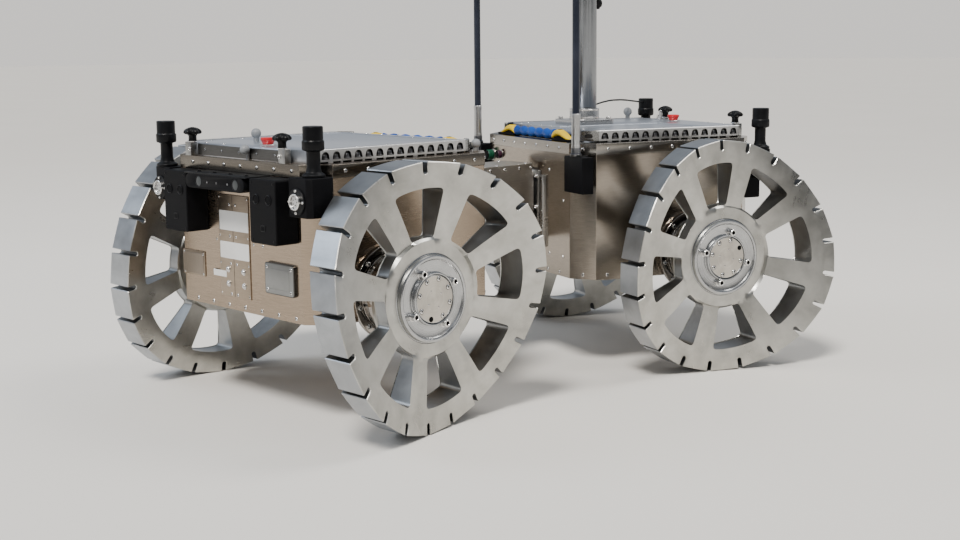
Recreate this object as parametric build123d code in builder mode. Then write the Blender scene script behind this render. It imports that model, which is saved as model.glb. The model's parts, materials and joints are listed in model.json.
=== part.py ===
from build123d import *
import math
import os

os.makedirs("parts", exist_ok=True)

# ---------------------------------------------------------------- dimensions
# A two-part rover: a front and a rear box module, the rear one a copy of the
# front one turned end for end, joined at an upright pivot between them.
# The front looks along -Y, +X is the rover's left side, +Z is up.

GROUND = 182.0          # underside of the boxes above the ground
SHIFT_X, SHIFT_Y = -70.34, -591.653     # from the front box's corner line to the origin

BODY_W = 216.0          # half width of a box
BODY_L = 410.0          # length of a box
BODY_H = 263.0          # height of a box
CHAMFER_X, CHAMFER_Y = 40.0, 36.0
BAND_H, BAND_T = 22.0, 1.5       # folded flange round the top of a box

LID_TOP, PAD_DEPTH = 285.0, 1.0
PIVOT_Y = 675.5         # the articulation axis, behind the front box
PIVOT_GAP = 24.0        # from that axis to the rear box
REST_YAW = -18.6        # the rear module's angle as it stands, degrees

WHEEL_R, WHEEL_T = 225.0, 64.0
WHEEL_X, WHEEL_Y, WHEEL_Z = 346.0, 151.0, WHEEL_R - GROUND
WAVE = 33.0             # the disc is a saddle: its rim waves this much in and out
WINDOWS, WINDOW_R1, WINDOW_R2 = 8, 99.0, 182.0
WINDOW_A1, WINDOW_A2 = 13.3, 15.4      # half angles at the two radii
SLOTS, SLOT_W, SLOT_D = 21, 8.0, 20.0
DISH_D, DISH_R = 15.0, 184.0
HUB_R, SPINDLE_R, SPINDLE_CLEAR = 75.0, 20.0, 0.08

POST_X, POST_Y = 218.0, -3.0
ANTENNA_X, ANTENNA_Y = 218.0, 420.0
MAST_X, MAST_Y = 51.0, 251.0
MAST_R, MAST_TOP = 25.5, 860.0


# ------------------------------------------------------------------- planes
FRONT = Plane(origin=(SHIFT_X, SHIFT_Y, GROUND), x_dir=(1, 0, 0), z_dir=(0, 0, 1))


def rear_plane():
    """The rear module's own plane: turned end for end and yawed at the pivot."""
    yaw = math.radians(REST_YAW)
    reach = PIVOT_GAP + BODY_L
    ox = SHIFT_X - reach * math.sin(yaw)
    oy = SHIFT_Y + PIVOT_Y + reach * math.cos(yaw)
    return Plane(origin=(ox, oy, GROUND), x_dir=(-math.cos(yaw), -math.sin(yaw), 0), z_dir=(0, 0, 1))


REAR = rear_plane()
MODULES = {"front": FRONT, "rear": REAR}

# facing: normal, x direction, in a module's own axes
FACINGS = {
    "up": ((0, 0, 1), (1, 0, 0)),
    "down": ((0, 0, -1), (1, 0, 0)),
    "front": ((0, -1, 0), (1, 0, 0)),
    "back": ((0, 1, 0), (-1, 0, 0)),
    "left": ((1, 0, 0), (0, 1, 0)),
    "right": ((-1, 0, 0), (0, -1, 0)),
}


def on(module, x, y, z, facing="up"):
    """A work plane at a point of a module, looking out along a named facing."""
    normal, x_dir = FACINGS[facing]
    home = module.origin

    def turn(v):
        return module.from_local_coords(Vector(*v)) - home

    return Plane(origin=module.from_local_coords(Vector(x, y, z)), x_dir=turn(x_dir), z_dir=turn(normal))


def save(builder, name):
    builder.part.label = name
    export_step(builder.part, f"parts/{name}.step")


BODY_OUTLINE = [
    (-BODY_W + CHAMFER_X, 0), (BODY_W - CHAMFER_X, 0), (BODY_W, CHAMFER_Y),
    (BODY_W, BODY_L - CHAMFER_Y), (BODY_W - CHAMFER_X, BODY_L), (-BODY_W + CHAMFER_X, BODY_L),
    (-BODY_W, BODY_L - CHAMFER_Y), (-BODY_W, CHAMFER_Y),
]
LID_OUTLINE = [
    (-128, 5), (128, 5), (176, 27), (176, 356), (150, 366),
    (-150, 366), (-176, 356), (-176, 27),
]

# --------------------------------------------------- what both modules carry
for name, module in MODULES.items():
    with BuildPart() as body:
        with BuildSketch(module):
            with BuildLine():
                Polyline(*BODY_OUTLINE, close=True)
            make_face()
        extrude(amount=BODY_H - BAND_H)
        with BuildSketch(module.offset(BODY_H - BAND_H)):
            with BuildLine():
                Polyline(*BODY_OUTLINE, close=True)
            make_face()
            offset(amount=BAND_T, kind=Kind.INTERSECTION)
        extrude(amount=BAND_H)
        # pressed foot rail under each long edge
        for x in (-BODY_W + 24, BODY_W - 24):
            with BuildSketch(on(module, x, BODY_L / 2, 0, "down")):
                SlotOverall(BODY_L - 110, 22, rotation=90)
            extrude(amount=4)
    save(body, f"body_{name}")

    with BuildPart() as lid:
        with BuildSketch(module.offset(BODY_H)):
            with BuildLine():
                Polyline(*LID_OUTLINE, close=True)
            make_face()
        extrude(amount=LID_TOP - BODY_H)
        # shallow milled pad, the part of the lid kept clear for payloads
        pad_x1, pad_x2 = {"front": (-155, 155), "rear": (-155, -8)}[name]
        with BuildSketch(on(module, (pad_x1 + pad_x2) / 2, 226, LID_TOP)):
            RectangleRounded(pad_x2 - pad_x1, 240, 6)
        extrude(amount=-PAD_DEPTH, mode=Mode.SUBTRACT)
    save(lid, f"lid_{name}")

    # a clamping rail down each side of the lid, with a row of bolt pockets
    RAIL_Y1, RAIL_Y2, RAIL_BOLTS, RAIL_PITCH = 29.0, 354.0, 14, 22.9
    with BuildPart() as rails:
        for side, facing in ((-1, "right"), (1, "left")):
            with BuildSketch(on(module, side * 183.0, (RAIL_Y1 + RAIL_Y2) / 2, BODY_H)):
                Rectangle(14, RAIL_Y2 - RAIL_Y1)
            extrude(amount=23)
            with BuildSketch(on(module, side * 190.0, (RAIL_Y1 + RAIL_Y2) / 2, BODY_H + 12.5, facing)):
                with GridLocations(RAIL_PITCH, 1, RAIL_BOLTS, 1):
                    Circle(6.5)
                    with Locations((0, -4)):
                        Rectangle(13, 8)
            extrude(amount=-5, mode=Mode.SUBTRACT)
            with BuildSketch(on(module, side * 190.0, (RAIL_Y1 + RAIL_Y2) / 2, BODY_H + 1.5, facing)):
                with GridLocations(RAIL_PITCH, 1, RAIL_BOLTS - 1, 1):
                    Rectangle(6, 5)
            extrude(amount=-14, mode=Mode.SUBTRACT)
    save(rails, f"lid_rails_{name}")

    with BuildPart() as brackets:
        for x in (-139, 139):
            with BuildSketch(on(module, x, -1.5, BODY_H)):
                Rectangle(18, 13)
            extrude(amount=24)
    save(brackets, f"lid_brackets_{name}")

    with BuildPart() as knobs:
        for x in (-133, 133):
            with BuildSketch(on(module, x, -1.5, BODY_H + 24)):
                Circle(8)
            extrude(amount=14)
            with BuildSketch(on(module, x, -1.5, BODY_H + 38)):
                Circle(11)
                with PolarLocations(11.5, 5):
                    Circle(5.5)
            extrude(amount=12)
    save(knobs, f"lid_knobs_{name}")

    with BuildPart() as button:
        with BuildSketch(on(module, 28, 45, LID_TOP)):
            Circle(15)
        extrude(amount=2)
        with BuildSketch(on(module, 28, 45, LID_TOP + 2)):
            Circle(10)
        extrude(amount=7)
        with BuildSketch(on(module, 28, 45, LID_TOP + 9)):
            Circle(12.5)
        extrude(amount=5)
        fillet(button.faces().sort_by(Axis.Z)[-1].edges(), 1.5)
    save(button, f"stop_button_{name}")

    BALLS = {
        # ball: x, y, z, radius, then the stalk's foot y, foot z and radius
        "front": ((30, -4, 281, 8.5, 1.7, BODY_H, 3), (-68, 88, 300, 9, 88, LID_TOP, 5),
                  (171, 397, 276, 8.5, 397, BODY_H, 5)),
        "rear": ((183, 66, 300, 9.5, 66, BODY_H + 23, 5),),
    }[name]
    with BuildPart() as balls:
        for x, y, z, radius, foot_y, foot_z, stalk in BALLS:
            with BuildSketch(on(module, x, foot_y, foot_z)):
                Circle(stalk)
            extrude(amount=z - foot_z)
            with Locations(on(module, x, y, z)):
                Sphere(radius)
    save(balls, f"marker_balls_{name}")

    # carrying handle along the inner end of the lid
    with BuildPart() as handle:
        with BuildSketch(on(module, 0, 393, BODY_H + 11, "left")) as grip_section:
            Ellipse(9, 9.5)
        extrude(amount=88, both=True)
        for x in (-121, 121):
            with BuildSketch(on(module, x, 393, BODY_H)):
                RectangleRounded(76, 18, 6)
            extrude(amount=20)
    save(handle, f"carry_handle_{name}")

    # black corner blocks at the outer end, each with a post on top; the one on
    # the module's left stands further out and a little higher
    CORNERS = {
        # side: front face y, inner x, outer x, underside z, top z, connector x, connector z
        1: (-33, 190, 244, 183, 246, 213, 208.5),
        -1: (-18, 186, 240, 181, 240, 218, 202),
    }
    with BuildPart() as blocks:
        for side, (y_front, x_in, x_out, z1, z2, cx, cz) in CORNERS.items():
            with BuildSketch(on(module, 0, 0, z1)):
                with BuildLine():
                    Polyline(
                        (side * x_in, y_front), (side * (x_out - 8), y_front), (side * x_out, y_front + 8),
                        (side * x_out, 14), (side * (x_out - 6), 20), (side * 201, 20),
                        (side * x_in, (x_in - 176) * 0.9 - 2.5), close=True)
                make_face()
            extrude(amount=z2 - z1)
    save(blocks, f"corner_blocks_{name}")

    with BuildPart() as connectors:
        for side, (y_front, x_in, x_out, z1, z2, cx, cz) in CORNERS.items():
            face_plane = on(module, side * cx, y_front, cz, "front")
            with BuildSketch(face_plane):
                Circle(21)
            extrude(amount=3)
            with BuildSketch(face_plane.offset(3)):
                Circle(13)
            extrude(amount=5)
    save(connectors, f"corner_connectors_{name}")

    POST_PROFILE = [
        (0, 0), (19, 0), (19, 4), (13, 8), (11, 16), (11, 41), (17, 43), (18, 45),
        (18, 57), (16.5, 59), (16.5, 80), (15.5, 81), (0, 81),
    ]
    with BuildPart() as posts:
        for side, corner in CORNERS.items():
            with BuildSketch(on(module, side * POST_X, POST_Y, corner[4], "front")):
                with BuildLine():
                    Polyline(*POST_PROFILE, close=True)
                make_face()
            axis_point = module.from_local_coords(Vector(side * POST_X, POST_Y, 0))
            revolve(axis=Axis(axis_point, (0, 0, 1)))
    save(posts, f"corner_posts_{name}")

    # black sensor housings on the outer face
    with BuildPart() as housings:
        for x1, x2 in ((96, 169), (-165, -93)):
            with BuildSketch(on(module, (x1 + x2) / 2, -BAND_T, 187, "front")):
                Rectangle(x2 - x1, 106)
            extrude(amount=44 - BAND_T)
            face_plane = on(module, (x1 + x2) / 2, -44, 187, "front")
            with BuildSketch(face_plane):
                with Locations((-17, 20), (17, 20)):
                    Circle(7)
                with Locations((0, -27)):
                    Rectangle(10, 8)
            extrude(amount=-8, mode=Mode.SUBTRACT)
    save(housings, f"sensor_housings_{name}")

    # fixed drive housing with the spindle that carries each wheel
    with BuildPart() as drives:
        for side, facing in ((-1, "right"), (1, "left")):
            root = on(module, side * BODY_W, WHEEL_Y, WHEEL_Z, facing)
            with BuildSketch(root):
                Circle(82)
            extrude(amount=8)
            with BuildSketch(root.offset(8)):
                Circle(66)
            extrude(amount=48)
            with BuildSketch(root.offset(56)):
                Circle(SPINDLE_R)
            extrude(amount=44)
    save(drives, f"drive_units_{name}")

# ------------------------------------------------------- front module only
with BuildPart() as camera:
    with BuildSketch(on(FRONT, 0, -18, 226.25, "front")):
        SlotOverall(175, 24.5)
    extrude(amount=30)
    with BuildSketch(on(FRONT, 0, -48, 226.25, "front")):
        with Locations((-47, 0), (62, 0)):
            Circle(9.5)
    extrude(amount=-2, mode=Mode.SUBTRACT)
save(camera, "stereo_camera")

with BuildPart() as camera_bracket:
    with BuildSketch(on(FRONT, 0, -24, 238.5)):
        with Locations((1.5, 0)):
            Rectangle(185, 48)
    extrude(amount=2.3)
    with BuildSketch(on(FRONT, 0, 0, 226.25, "front")):
        Rectangle(120, 24.5)
    extrude(amount=18)
save(camera_bracket, "camera_bracket")

with BuildPart() as plates:
    with BuildSketch(on(FRONT, -15, 0, 112, "front")):
        Rectangle(90, 178)
    extrude(amount=2)
    with BuildSketch(on(FRONT, -144, 0, 71, "front")):
        RectangleRounded(70, 45, 2)
    extrude(amount=2)
    with BuildSketch(on(FRONT, 120, 0, 71, "front")):
        RectangleRounded(78, 50, 4)
    extrude(amount=6)
save(plates, "front_plates")

# joint box running back from the front box, open at its end round the pivot
BOX_W, BOX_Z1, BOX_Z2, BOX_TOP = 46.0, 60.0, 200.0, 216.0
BOX_END, DECK_END, BOX_WALL, BULKHEAD = 674.5, 680.0, 4.0, 604.0
with BuildPart() as joint_box:
    with BuildSketch(on(FRONT, 0, (BODY_L + BOX_END) / 2, BOX_Z1)):
        Rectangle(2 * BOX_W, BOX_END - BODY_L)
    extrude(amount=BOX_Z2 - BOX_Z1)
    with BuildSketch(on(FRONT, 0, (BULKHEAD + BOX_END) / 2, BOX_Z1 + BOX_WALL)):
        Rectangle(2 * (BOX_W - BOX_WALL), BOX_END - BULKHEAD)
    extrude(amount=BOX_Z2 - BOX_Z1 - 2 * BOX_WALL, mode=Mode.SUBTRACT)
    with BuildSketch(on(FRONT, 0, 0, BOX_Z2)):
        with BuildLine():
            Polyline(
                (-BOX_W, BODY_L), (BOX_W, BODY_L), (BOX_W, DECK_END - 10), (BOX_W - 10, DECK_END),
                (10 - BOX_W, DECK_END), (-BOX_W, DECK_END - 10), close=True)
        make_face()
    extrude(amount=BOX_TOP - BOX_Z2)
    with BuildSketch(on(FRONT, 0, BODY_L + 3, 50)):
        Rectangle(130, 6)
    extrude(amount=176)
save(joint_box, "joint_box")

PIN_R, PIN_CLEAR = 12.0, 0.08
BARREL_Z1, BARREL_Z2 = 97.0, 171.0
with BuildPart() as barrel:
    with BuildSketch(on(FRONT, 0, PIVOT_Y, BARREL_Z1)):
        Circle(17)
        with Locations((0, (BULKHEAD - PIVOT_Y) / 2)):
            Rectangle(30, PIVOT_Y - BULKHEAD)
        Circle(PIN_R + PIN_CLEAR, mode=Mode.SUBTRACT)
    extrude(amount=BARREL_Z2 - BARREL_Z1)
save(barrel, "pivot_barrel")

# -------------------------------------------------------- rear module only
INNER = BODY_L                  # the rear module's inner face, in its own axes
AXIS_Y = BODY_L + PIVOT_GAP     # the articulation axis, in its own axes
with BuildPart() as yoke:
    with BuildSketch(on(REAR, 0, INNER + 2.5, 66)):
        Rectangle(110, 5)
    extrude(amount=136)
    for z in (79, 177):
        with BuildSketch(on(REAR, 0, AXIS_Y, z)):
            Circle(22)
            with Locations((0, -(PIVOT_GAP - 5) / 2)):
                Rectangle(44, PIVOT_GAP - 5)
            Circle(PIN_R, mode=Mode.SUBTRACT)
        extrude(amount=12)
save(yoke, "joint_yoke")

# two round plugs on the rear box's inner face, beside the joint
with BuildPart() as joint_plugs:
    for x, z, r, reach in ((165, 219, 11, 17), (126, 222, 8.5, 11)):
        with BuildSketch(on(REAR, x, INNER, z, "back")):
            Circle(r)
        extrude(amount=reach)
save(joint_plugs, "joint_plugs")

# shallow frame standing round the yoke on the rear box's inner face
with BuildPart() as joint_frame:
    for side in (-1, 1):
        with BuildSketch(on(REAR, side * 69, INNER + 4, 50)):
            Rectangle(18, 8)
        extrude(amount=144)
        with BuildSketch(on(REAR, side * 66, INNER + 4, 54)):
            Rectangle(16, 8)
        extrude(amount=136, mode=Mode.SUBTRACT)
save(joint_frame, "joint_frame")

with BuildPart() as pin:
    with BuildSketch(on(REAR, 0, AXIS_Y, 75)):
        Circle(PIN_R)
    extrude(amount=118)
    with BuildSketch(on(REAR, 0, AXIS_Y, 75)):
        Circle(PIN_R + 5)
        Circle(PIN_R, mode=Mode.SUBTRACT)
    extrude(amount=4)
save(pin, "pivot_pin")

with BuildPart() as antenna_blocks:
    for side in (-1, 1):
        with BuildSketch(on(REAR, 0, 0, 172)):
            with BuildLine():
                Polyline(
                    (side * 186, BODY_L - 6.9), (side * 186, BODY_L + 18), (side * 258, BODY_L + 18),
                    (side * 258, BODY_L - 6), (side * 222, BODY_L - 6), (side * 206, BODY_L - 24.9), close=True)
            make_face()
        extrude(amount=69)
save(antenna_blocks, "antenna_blocks")

ANTENNA_PROFILE = [
    (0, 241), (11, 241), (11, 246), (9, 247), (9, 256), (8, 257), (8, 321), (7, 322),
    (7, 560), (5, 690), (4, 694), (0, 695),
]
with BuildPart() as antennas:
    for side in (-1, 1):
        with BuildSketch(on(REAR, side * ANTENNA_X, ANTENNA_Y, 0, "front")):
            with BuildLine():
                Polyline(*ANTENNA_PROFILE, close=True)
            make_face()
        foot = REAR.from_local_coords(Vector(side * ANTENNA_X, ANTENNA_Y, 0))
        revolve(axis=Axis(foot, (0, 0, 1)))
save(antennas, "antennas")

with BuildPart() as mast_base:
    foot = on(REAR, MAST_X, MAST_Y, LID_TOP)
    with BuildSketch(foot):
        RectangleRounded(96, 96, 12)
        with GridLocations(74, 74, 2, 2):
            Circle(3.3, mode=Mode.SUBTRACT)
    extrude(amount=10)
    with BuildSketch(foot.offset(10)):
        Circle(31)
        Circle(MAST_R, mode=Mode.SUBTRACT)
    extrude(amount=22)
save(mast_base, "mast_base")

with BuildPart() as mast_tube:
    with BuildSketch(on(REAR, MAST_X, MAST_Y, LID_TOP + 10)):
        Circle(MAST_R)
    extrude(amount=MAST_TOP - LID_TOP - 10)
save(mast_tube, "mast_tube")

with BuildPart() as mast_cap:
    with BuildSketch(on(REAR, MAST_X, MAST_Y, MAST_TOP)):
        Circle(MAST_R + 2.5)
    extrude(amount=12)
    fillet(mast_cap.faces().sort_by(Axis.Z)[-1].edges(), 4)
save(mast_cap, "mast_cap")

with BuildPart() as mast_socket:
    with BuildSketch(on(REAR, MAST_X, MAST_Y - MAST_R + 4, 534, "front")):
        RectangleRounded(22, 24, 4)
    extrude(amount=9)
    with BuildSketch(on(REAR, MAST_X, MAST_Y, 515)):
        Circle(MAST_R + 0.05)
    extrude(amount=38, mode=Mode.SUBTRACT)
    with BuildSketch(on(REAR, MAST_X, MAST_Y - MAST_R - 5, 534, "front")):
        Circle(8)
    extrude(amount=7)
save(mast_socket, "mast_socket")

# thin cable from the left corner post's head to the foot of the mast
CABLE_D = 3.0
CABLE_ROUTE = [(208.74, 11.19, 319), (180, 55, 324), (150, 100, 328.5), (118, 148, 329.5), (90, 190, 326), (64.88, 229.32, 320)]
cable_points = [REAR.from_local_coords(Vector(*p)) for p in CABLE_ROUTE]
cable_radii = []
for a, b, c in zip(cable_points, cable_points[1:], cable_points[2:]):
    turn = math.radians((b - a).get_angle(c - b))
    shorter = min((b - a).length, (c - b).length)
    cable_radii.append(0.45 * shorter / math.tan(turn / 2))
print("cable radii", [round(r, 1) for r in cable_radii])
with BuildPart() as mast_cable:
    with BuildLine():
        route = FilletPolyline(*cable_points, radius=cable_radii)
    with BuildSketch(Plane(origin=route @ 0, z_dir=route % 0)):
        Circle(CABLE_D / 2)
    sweep()
save(mast_cable, "mast_cable")

# small over-centre latch on the rear lid
with BuildPart() as lid_latch:
    with BuildSketch(on(REAR, 104, 34, LID_TOP)):
        Rectangle(18, 12)
    extrude(amount=2)
    with BuildSketch(on(REAR, 104, 34, LID_TOP + 2)):
        Rectangle(12, 5)
    extrude(amount=8)
    with BuildSketch(on(REAR, 97, 34, LID_TOP + 2)):
        Rectangle(4, 5)
    extrude(amount=18)
save(lid_latch, "lid_latch")

# ------------------------------------------------------------------- wheels
WHEELS = {
    # node ending: module, side, direction of the wave's crest (degrees), and
    # the first window and the first slot from that crest (degrees)
    "front_left": (FRONT, 1, 209.0, 23.9, 4.2),
    "front_right": (FRONT, -1, 104.0, 38.0, 9.27),
    "rear_left": (REAR, -1, -15.0, 23.9, 4.2),
    "rear_right": (REAR, 1, 98.0, 37.8, 0.5),
}
with BuildSketch() as window:
    with BuildLine() as window_edge:
        corners = []
        for r, a in ((WINDOW_R1, WINDOW_A1), (WINDOW_R2, WINDOW_A2)):
            corners.append([Vector(r * math.cos(math.radians(k * a)), r * math.sin(math.radians(k * a)), 0) for k in (-1, 1)])
        (a1, a2), (b1, b2) = corners
        ThreePointArc(a1, Vector(WINDOW_R1, 0, 0), a2)
        Line(a2, b2)
        ThreePointArc(b2, Vector(WINDOW_R2, 0, 0), b1)
        Line(b1, a1)
    make_face()
    fillet(window.vertices(), 8)


def saddle_section(disc, q, reach, top, thick):
    """One straight end of the ruled saddle slab: a thin bar across the disc."""
    turned = Plane(origin=disc.origin, x_dir=disc.from_local_coords(Vector(1, 1, 0)) - disc.origin, z_dir=disc.z_dir)
    along = turned.x_dir
    across = turned.y_dir
    k = WAVE / WHEEL_R ** 2
    plane = Plane(origin=turned.origin + across * q, x_dir=along, z_dir=across * -1)
    rise = -2 * k * q * reach
    return plane, [(-reach, top - rise), (reach, top + rise), (reach, top + rise - thick), (-reach, top - rise - thick)]


for name, (module, side, crest, window_at, slot_at) in WHEELS.items():
    hub_plane = on(module, side * WHEEL_X, WHEEL_Y, WHEEL_Z, "left" if side > 0 else "right")
    crest_point = Vector(math.cos(math.radians(crest)), math.sin(math.radians(crest)), 0)
    disc = Plane(
        origin=hub_plane.origin,
        x_dir=hub_plane.from_local_coords(crest_point) - hub_plane.origin,
        z_dir=hub_plane.z_dir,
    )
    reach = WHEEL_R + 6

    with BuildPart() as dish:
        for q in (-reach, reach):
            plane, points = saddle_section(disc, q, reach, 60.0, 60.0 + DISH_D)
            with BuildSketch(plane):
                with BuildLine():
                    Polyline(*points, close=True)
                make_face()
        loft(ruled=True)
        with BuildSketch(disc.offset(-120)):
            Circle(DISH_R)
        extrude(amount=260, mode=Mode.INTERSECT)

    with BuildPart() as wheel:
        for q in (-reach, reach):
            plane, points = saddle_section(disc, q, reach, 0.0, WHEEL_T)
            with BuildSketch(plane):
                with BuildLine():
                    Polyline(*points, close=True)
                make_face()
        loft(ruled=True)
        with BuildSketch(disc.offset(-160)):
            Circle(WHEEL_R)
        extrude(amount=260, mode=Mode.INTERSECT)
        add(dish.part, mode=Mode.SUBTRACT)
        with BuildSketch(disc.offset(-160)):
            with PolarLocations(0, WINDOWS, start_angle=window_at):
                add(window.sketch)
            with PolarLocations(WHEEL_R, SLOTS, start_angle=slot_at):
                SlotOverall(2 * SLOT_D, SLOT_W)
            Circle(HUB_R)
        extrude(amount=260, mode=Mode.SUBTRACT)
    save(wheel, f"wheel_{name}")

    HUB_PROFILE = [
        (0, -16), (42, -16), (42, -22), (57, -24), (62, -17), (70, -17), (75, -24), (75, -62),
        (SPINDLE_R + SPINDLE_CLEAR, -62), (SPINDLE_R + SPINDLE_CLEAR, -26), (0, -26),
    ]
    with BuildPart() as hub:
        upright = Plane(origin=disc.origin, x_dir=disc.x_dir, z_dir=disc.y_dir * -1)
        with BuildSketch(upright):
            with BuildLine():
                Polyline(*HUB_PROFILE, close=True)
            make_face()
        revolve(axis=Axis(disc.origin, disc.z_dir))
    save(hub, f"hub_{name}")
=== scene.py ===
import bpy
import bmesh
import json
import math
import numpy as np
from mathutils import Matrix, Vector
from mathutils.geometry import delaunay_2d_cdt

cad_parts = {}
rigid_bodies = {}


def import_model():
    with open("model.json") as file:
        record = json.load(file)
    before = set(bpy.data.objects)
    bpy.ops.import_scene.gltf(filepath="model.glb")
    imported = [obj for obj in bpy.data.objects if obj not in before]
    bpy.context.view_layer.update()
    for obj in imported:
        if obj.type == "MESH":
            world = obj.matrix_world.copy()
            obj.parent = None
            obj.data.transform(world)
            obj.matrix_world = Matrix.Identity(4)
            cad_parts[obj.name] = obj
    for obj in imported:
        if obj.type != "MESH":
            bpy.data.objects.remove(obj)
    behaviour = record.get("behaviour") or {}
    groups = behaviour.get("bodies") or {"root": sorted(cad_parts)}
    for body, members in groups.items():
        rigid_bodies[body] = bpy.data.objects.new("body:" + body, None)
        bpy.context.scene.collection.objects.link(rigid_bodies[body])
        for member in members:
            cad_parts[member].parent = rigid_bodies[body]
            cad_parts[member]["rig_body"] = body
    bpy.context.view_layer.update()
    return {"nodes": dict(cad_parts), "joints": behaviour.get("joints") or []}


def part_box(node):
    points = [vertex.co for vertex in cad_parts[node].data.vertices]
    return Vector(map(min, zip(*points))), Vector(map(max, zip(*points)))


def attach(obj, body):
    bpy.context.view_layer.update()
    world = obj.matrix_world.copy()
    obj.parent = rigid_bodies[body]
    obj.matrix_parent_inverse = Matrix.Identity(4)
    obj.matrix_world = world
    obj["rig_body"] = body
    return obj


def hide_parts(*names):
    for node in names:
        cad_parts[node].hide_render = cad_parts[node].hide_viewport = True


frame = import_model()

NODES = frame["nodes"]
SCENE = bpy.context.scene

# ------------------------------------------------------------------ frames
# Pieces are drawn in millimetres in a module's own axes: x across, y from the
# outer end inwards, z up from the underside. The rear module is the front one
# turned end for end about the upright pivot.
BODY_W, BODY_L, BODY_H, LID_TOP = 216.0, 410.0, 263.0, 285.0
CH_X, CH_Y, BAND_H, BAND_T = 40.0, 36.0, 22.0, 1.5
WHEEL_R, WHEEL_T, WHEEL_X, WHEEL_Y = 225.0, 64.0, 346.0, 151.0
WAVE = 33.0

_lo, _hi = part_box("body_front")
GROUND = (_hi.z * 1000.0) - BODY_H
HOME = Vector(((_lo.x + _hi.x) * 500.0, _lo.y * 1000.0 + BAND_T, GROUND))
ARTIC = [j for j in frame["joints"] if j["name"] == "articulation"][0]
PIVOT = Vector(ARTIC["pos_m"]) * 1000.0
_spin = [j for j in frame["joints"] if j["name"] == "rear_left_spin"][0]
YAW = math.atan2(_spin["axis"][1], _spin["axis"][0])
PIVOT_GAP = 24.0
WHEEL_Z = WHEEL_R - GROUND


def frame_matrix(origin, yaw):
    return Matrix.Translation(origin) @ Matrix.Rotation(yaw, 4, "Z")


def rear_origin():
    reach = PIVOT_GAP + BODY_L
    return Vector((PIVOT.x - reach * math.sin(YAW), PIVOT.y + reach * math.cos(YAW), GROUND))


M_FRONT = frame_matrix(HOME, 0.0)
M_REAR = frame_matrix(rear_origin(), YAW + math.pi)
MODULE = {"front": M_FRONT, "rear": M_REAR}
CHASSIS = {"front": "front_chassis", "rear": "rear_chassis"}
TO_M = Matrix.Diagonal((0.001, 0.001, 0.001, 1.0))

# ------------------------------------------------------------------ camera
def make_camera():
    """The photograph's own viewpoint, as fitted to the object's corners."""
    eye = HOME + Vector((2027.4, -1366.3, 453.0))
    right = Vector((0.69121346, 0.72259813, -0.00871227))
    down = Vector((0.10775753, -0.11498351, -0.9875055))
    ahead = Vector((-0.71457139, 0.68163828, -0.15734353))
    rot = Matrix((right, -down, -ahead)).transposed().to_4x4()
    data = bpy.data.cameras.new("camera")
    data.sensor_width = 36.0
    data.lens = 1420.0 / 960.0 * 36.0
    data.clip_start, data.clip_end = 0.05, 60.0
    cam = bpy.data.objects.new("camera", data)
    cam.matrix_world = Matrix.Translation(eye / 1000.0) @ rot
    SCENE.collection.objects.link(cam)
    SCENE.camera = cam


make_camera()


# --------------------------------------------------------------- materials
def new_material(name):
    mat = bpy.data.materials.new(name)
    mat.use_nodes = True
    nt = mat.node_tree
    nt.nodes.clear()
    out = nt.nodes.new("ShaderNodeOutputMaterial")
    bsdf = nt.nodes.new("ShaderNodeBsdfPrincipled")
    nt.links.new(bsdf.outputs[0], out.inputs[0])
    return mat, nt, bsdf


def node(nt, kind, **props):
    n = nt.nodes.new(kind)
    for k, v in props.items():
        setattr(n, k, v)
    return n


def coords(nt, scale=(1, 1, 1), rotation=(0, 0, 0), source="Object", attribute=None):
    if attribute:
        tc = node(nt, "ShaderNodeAttribute")
        tc.attribute_name = attribute
        sock = tc.outputs["Vector"]
    else:
        tc = node(nt, "ShaderNodeTexCoord")
        sock = tc.outputs[source]
    mp = node(nt, "ShaderNodeMapping")
    mp.inputs["Scale"].default_value = scale
    mp.inputs["Rotation"].default_value = rotation
    nt.links.new(sock, mp.inputs["Vector"])
    return mp.outputs["Vector"]


def noise(nt, vec, scale, detail=4.0, rough=0.55, distortion=0.0):
    n = node(nt, "ShaderNodeTexNoise")
    n.inputs["Scale"].default_value = scale
    n.inputs["Detail"].default_value = detail
    n.inputs["Roughness"].default_value = rough
    n.inputs["Distortion"].default_value = distortion
    nt.links.new(vec, n.inputs["Vector"])
    return n.outputs["Fac"]


def remap(nt, sock, a, b, c, d):
    n = node(nt, "ShaderNodeMapRange")
    n.inputs["From Min"].default_value = a
    n.inputs["From Max"].default_value = b
    n.inputs["To Min"].default_value = c
    n.inputs["To Max"].default_value = d
    nt.links.new(sock, n.inputs["Value"])
    return n.outputs["Result"]


def mix_color(nt, fac, a, b, mode="MIX"):
    n = node(nt, "ShaderNodeMix", data_type="RGBA", blend_type=mode)
    if isinstance(fac, (int, float)):
        n.inputs["Factor"].default_value = fac
    else:
        nt.links.new(fac, n.inputs["Factor"])
    ins = [s for s in n.inputs if s.type == "RGBA"]
    for sock, v in zip(ins, (a, b)):
        if isinstance(v, tuple):
            sock.default_value = (*v, 1.0)
        else:
            nt.links.new(v, sock)
    return [s for s in n.outputs if s.type == "RGBA"][0]


def math_node(nt, op, a, b=None):
    n = node(nt, "ShaderNodeMath", operation=op)
    for i, v in enumerate((a, b)):
        if v is None:
            continue
        if isinstance(v, (int, float)):
            n.inputs[i].default_value = v
        else:
            nt.links.new(v, n.inputs[i])
    return n.outputs[0]


def bump(nt, bsdf, height, strength, distance, under=None):
    b = node(nt, "ShaderNodeBump")
    b.inputs["Strength"].default_value = strength
    b.inputs["Distance"].default_value = distance
    nt.links.new(height, b.inputs["Height"])
    if under is not None:
        nt.links.new(under, b.inputs["Normal"])
    nt.links.new(b.outputs["Normal"], bsdf.inputs["Normal"])
    return b.outputs["Normal"]


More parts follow.
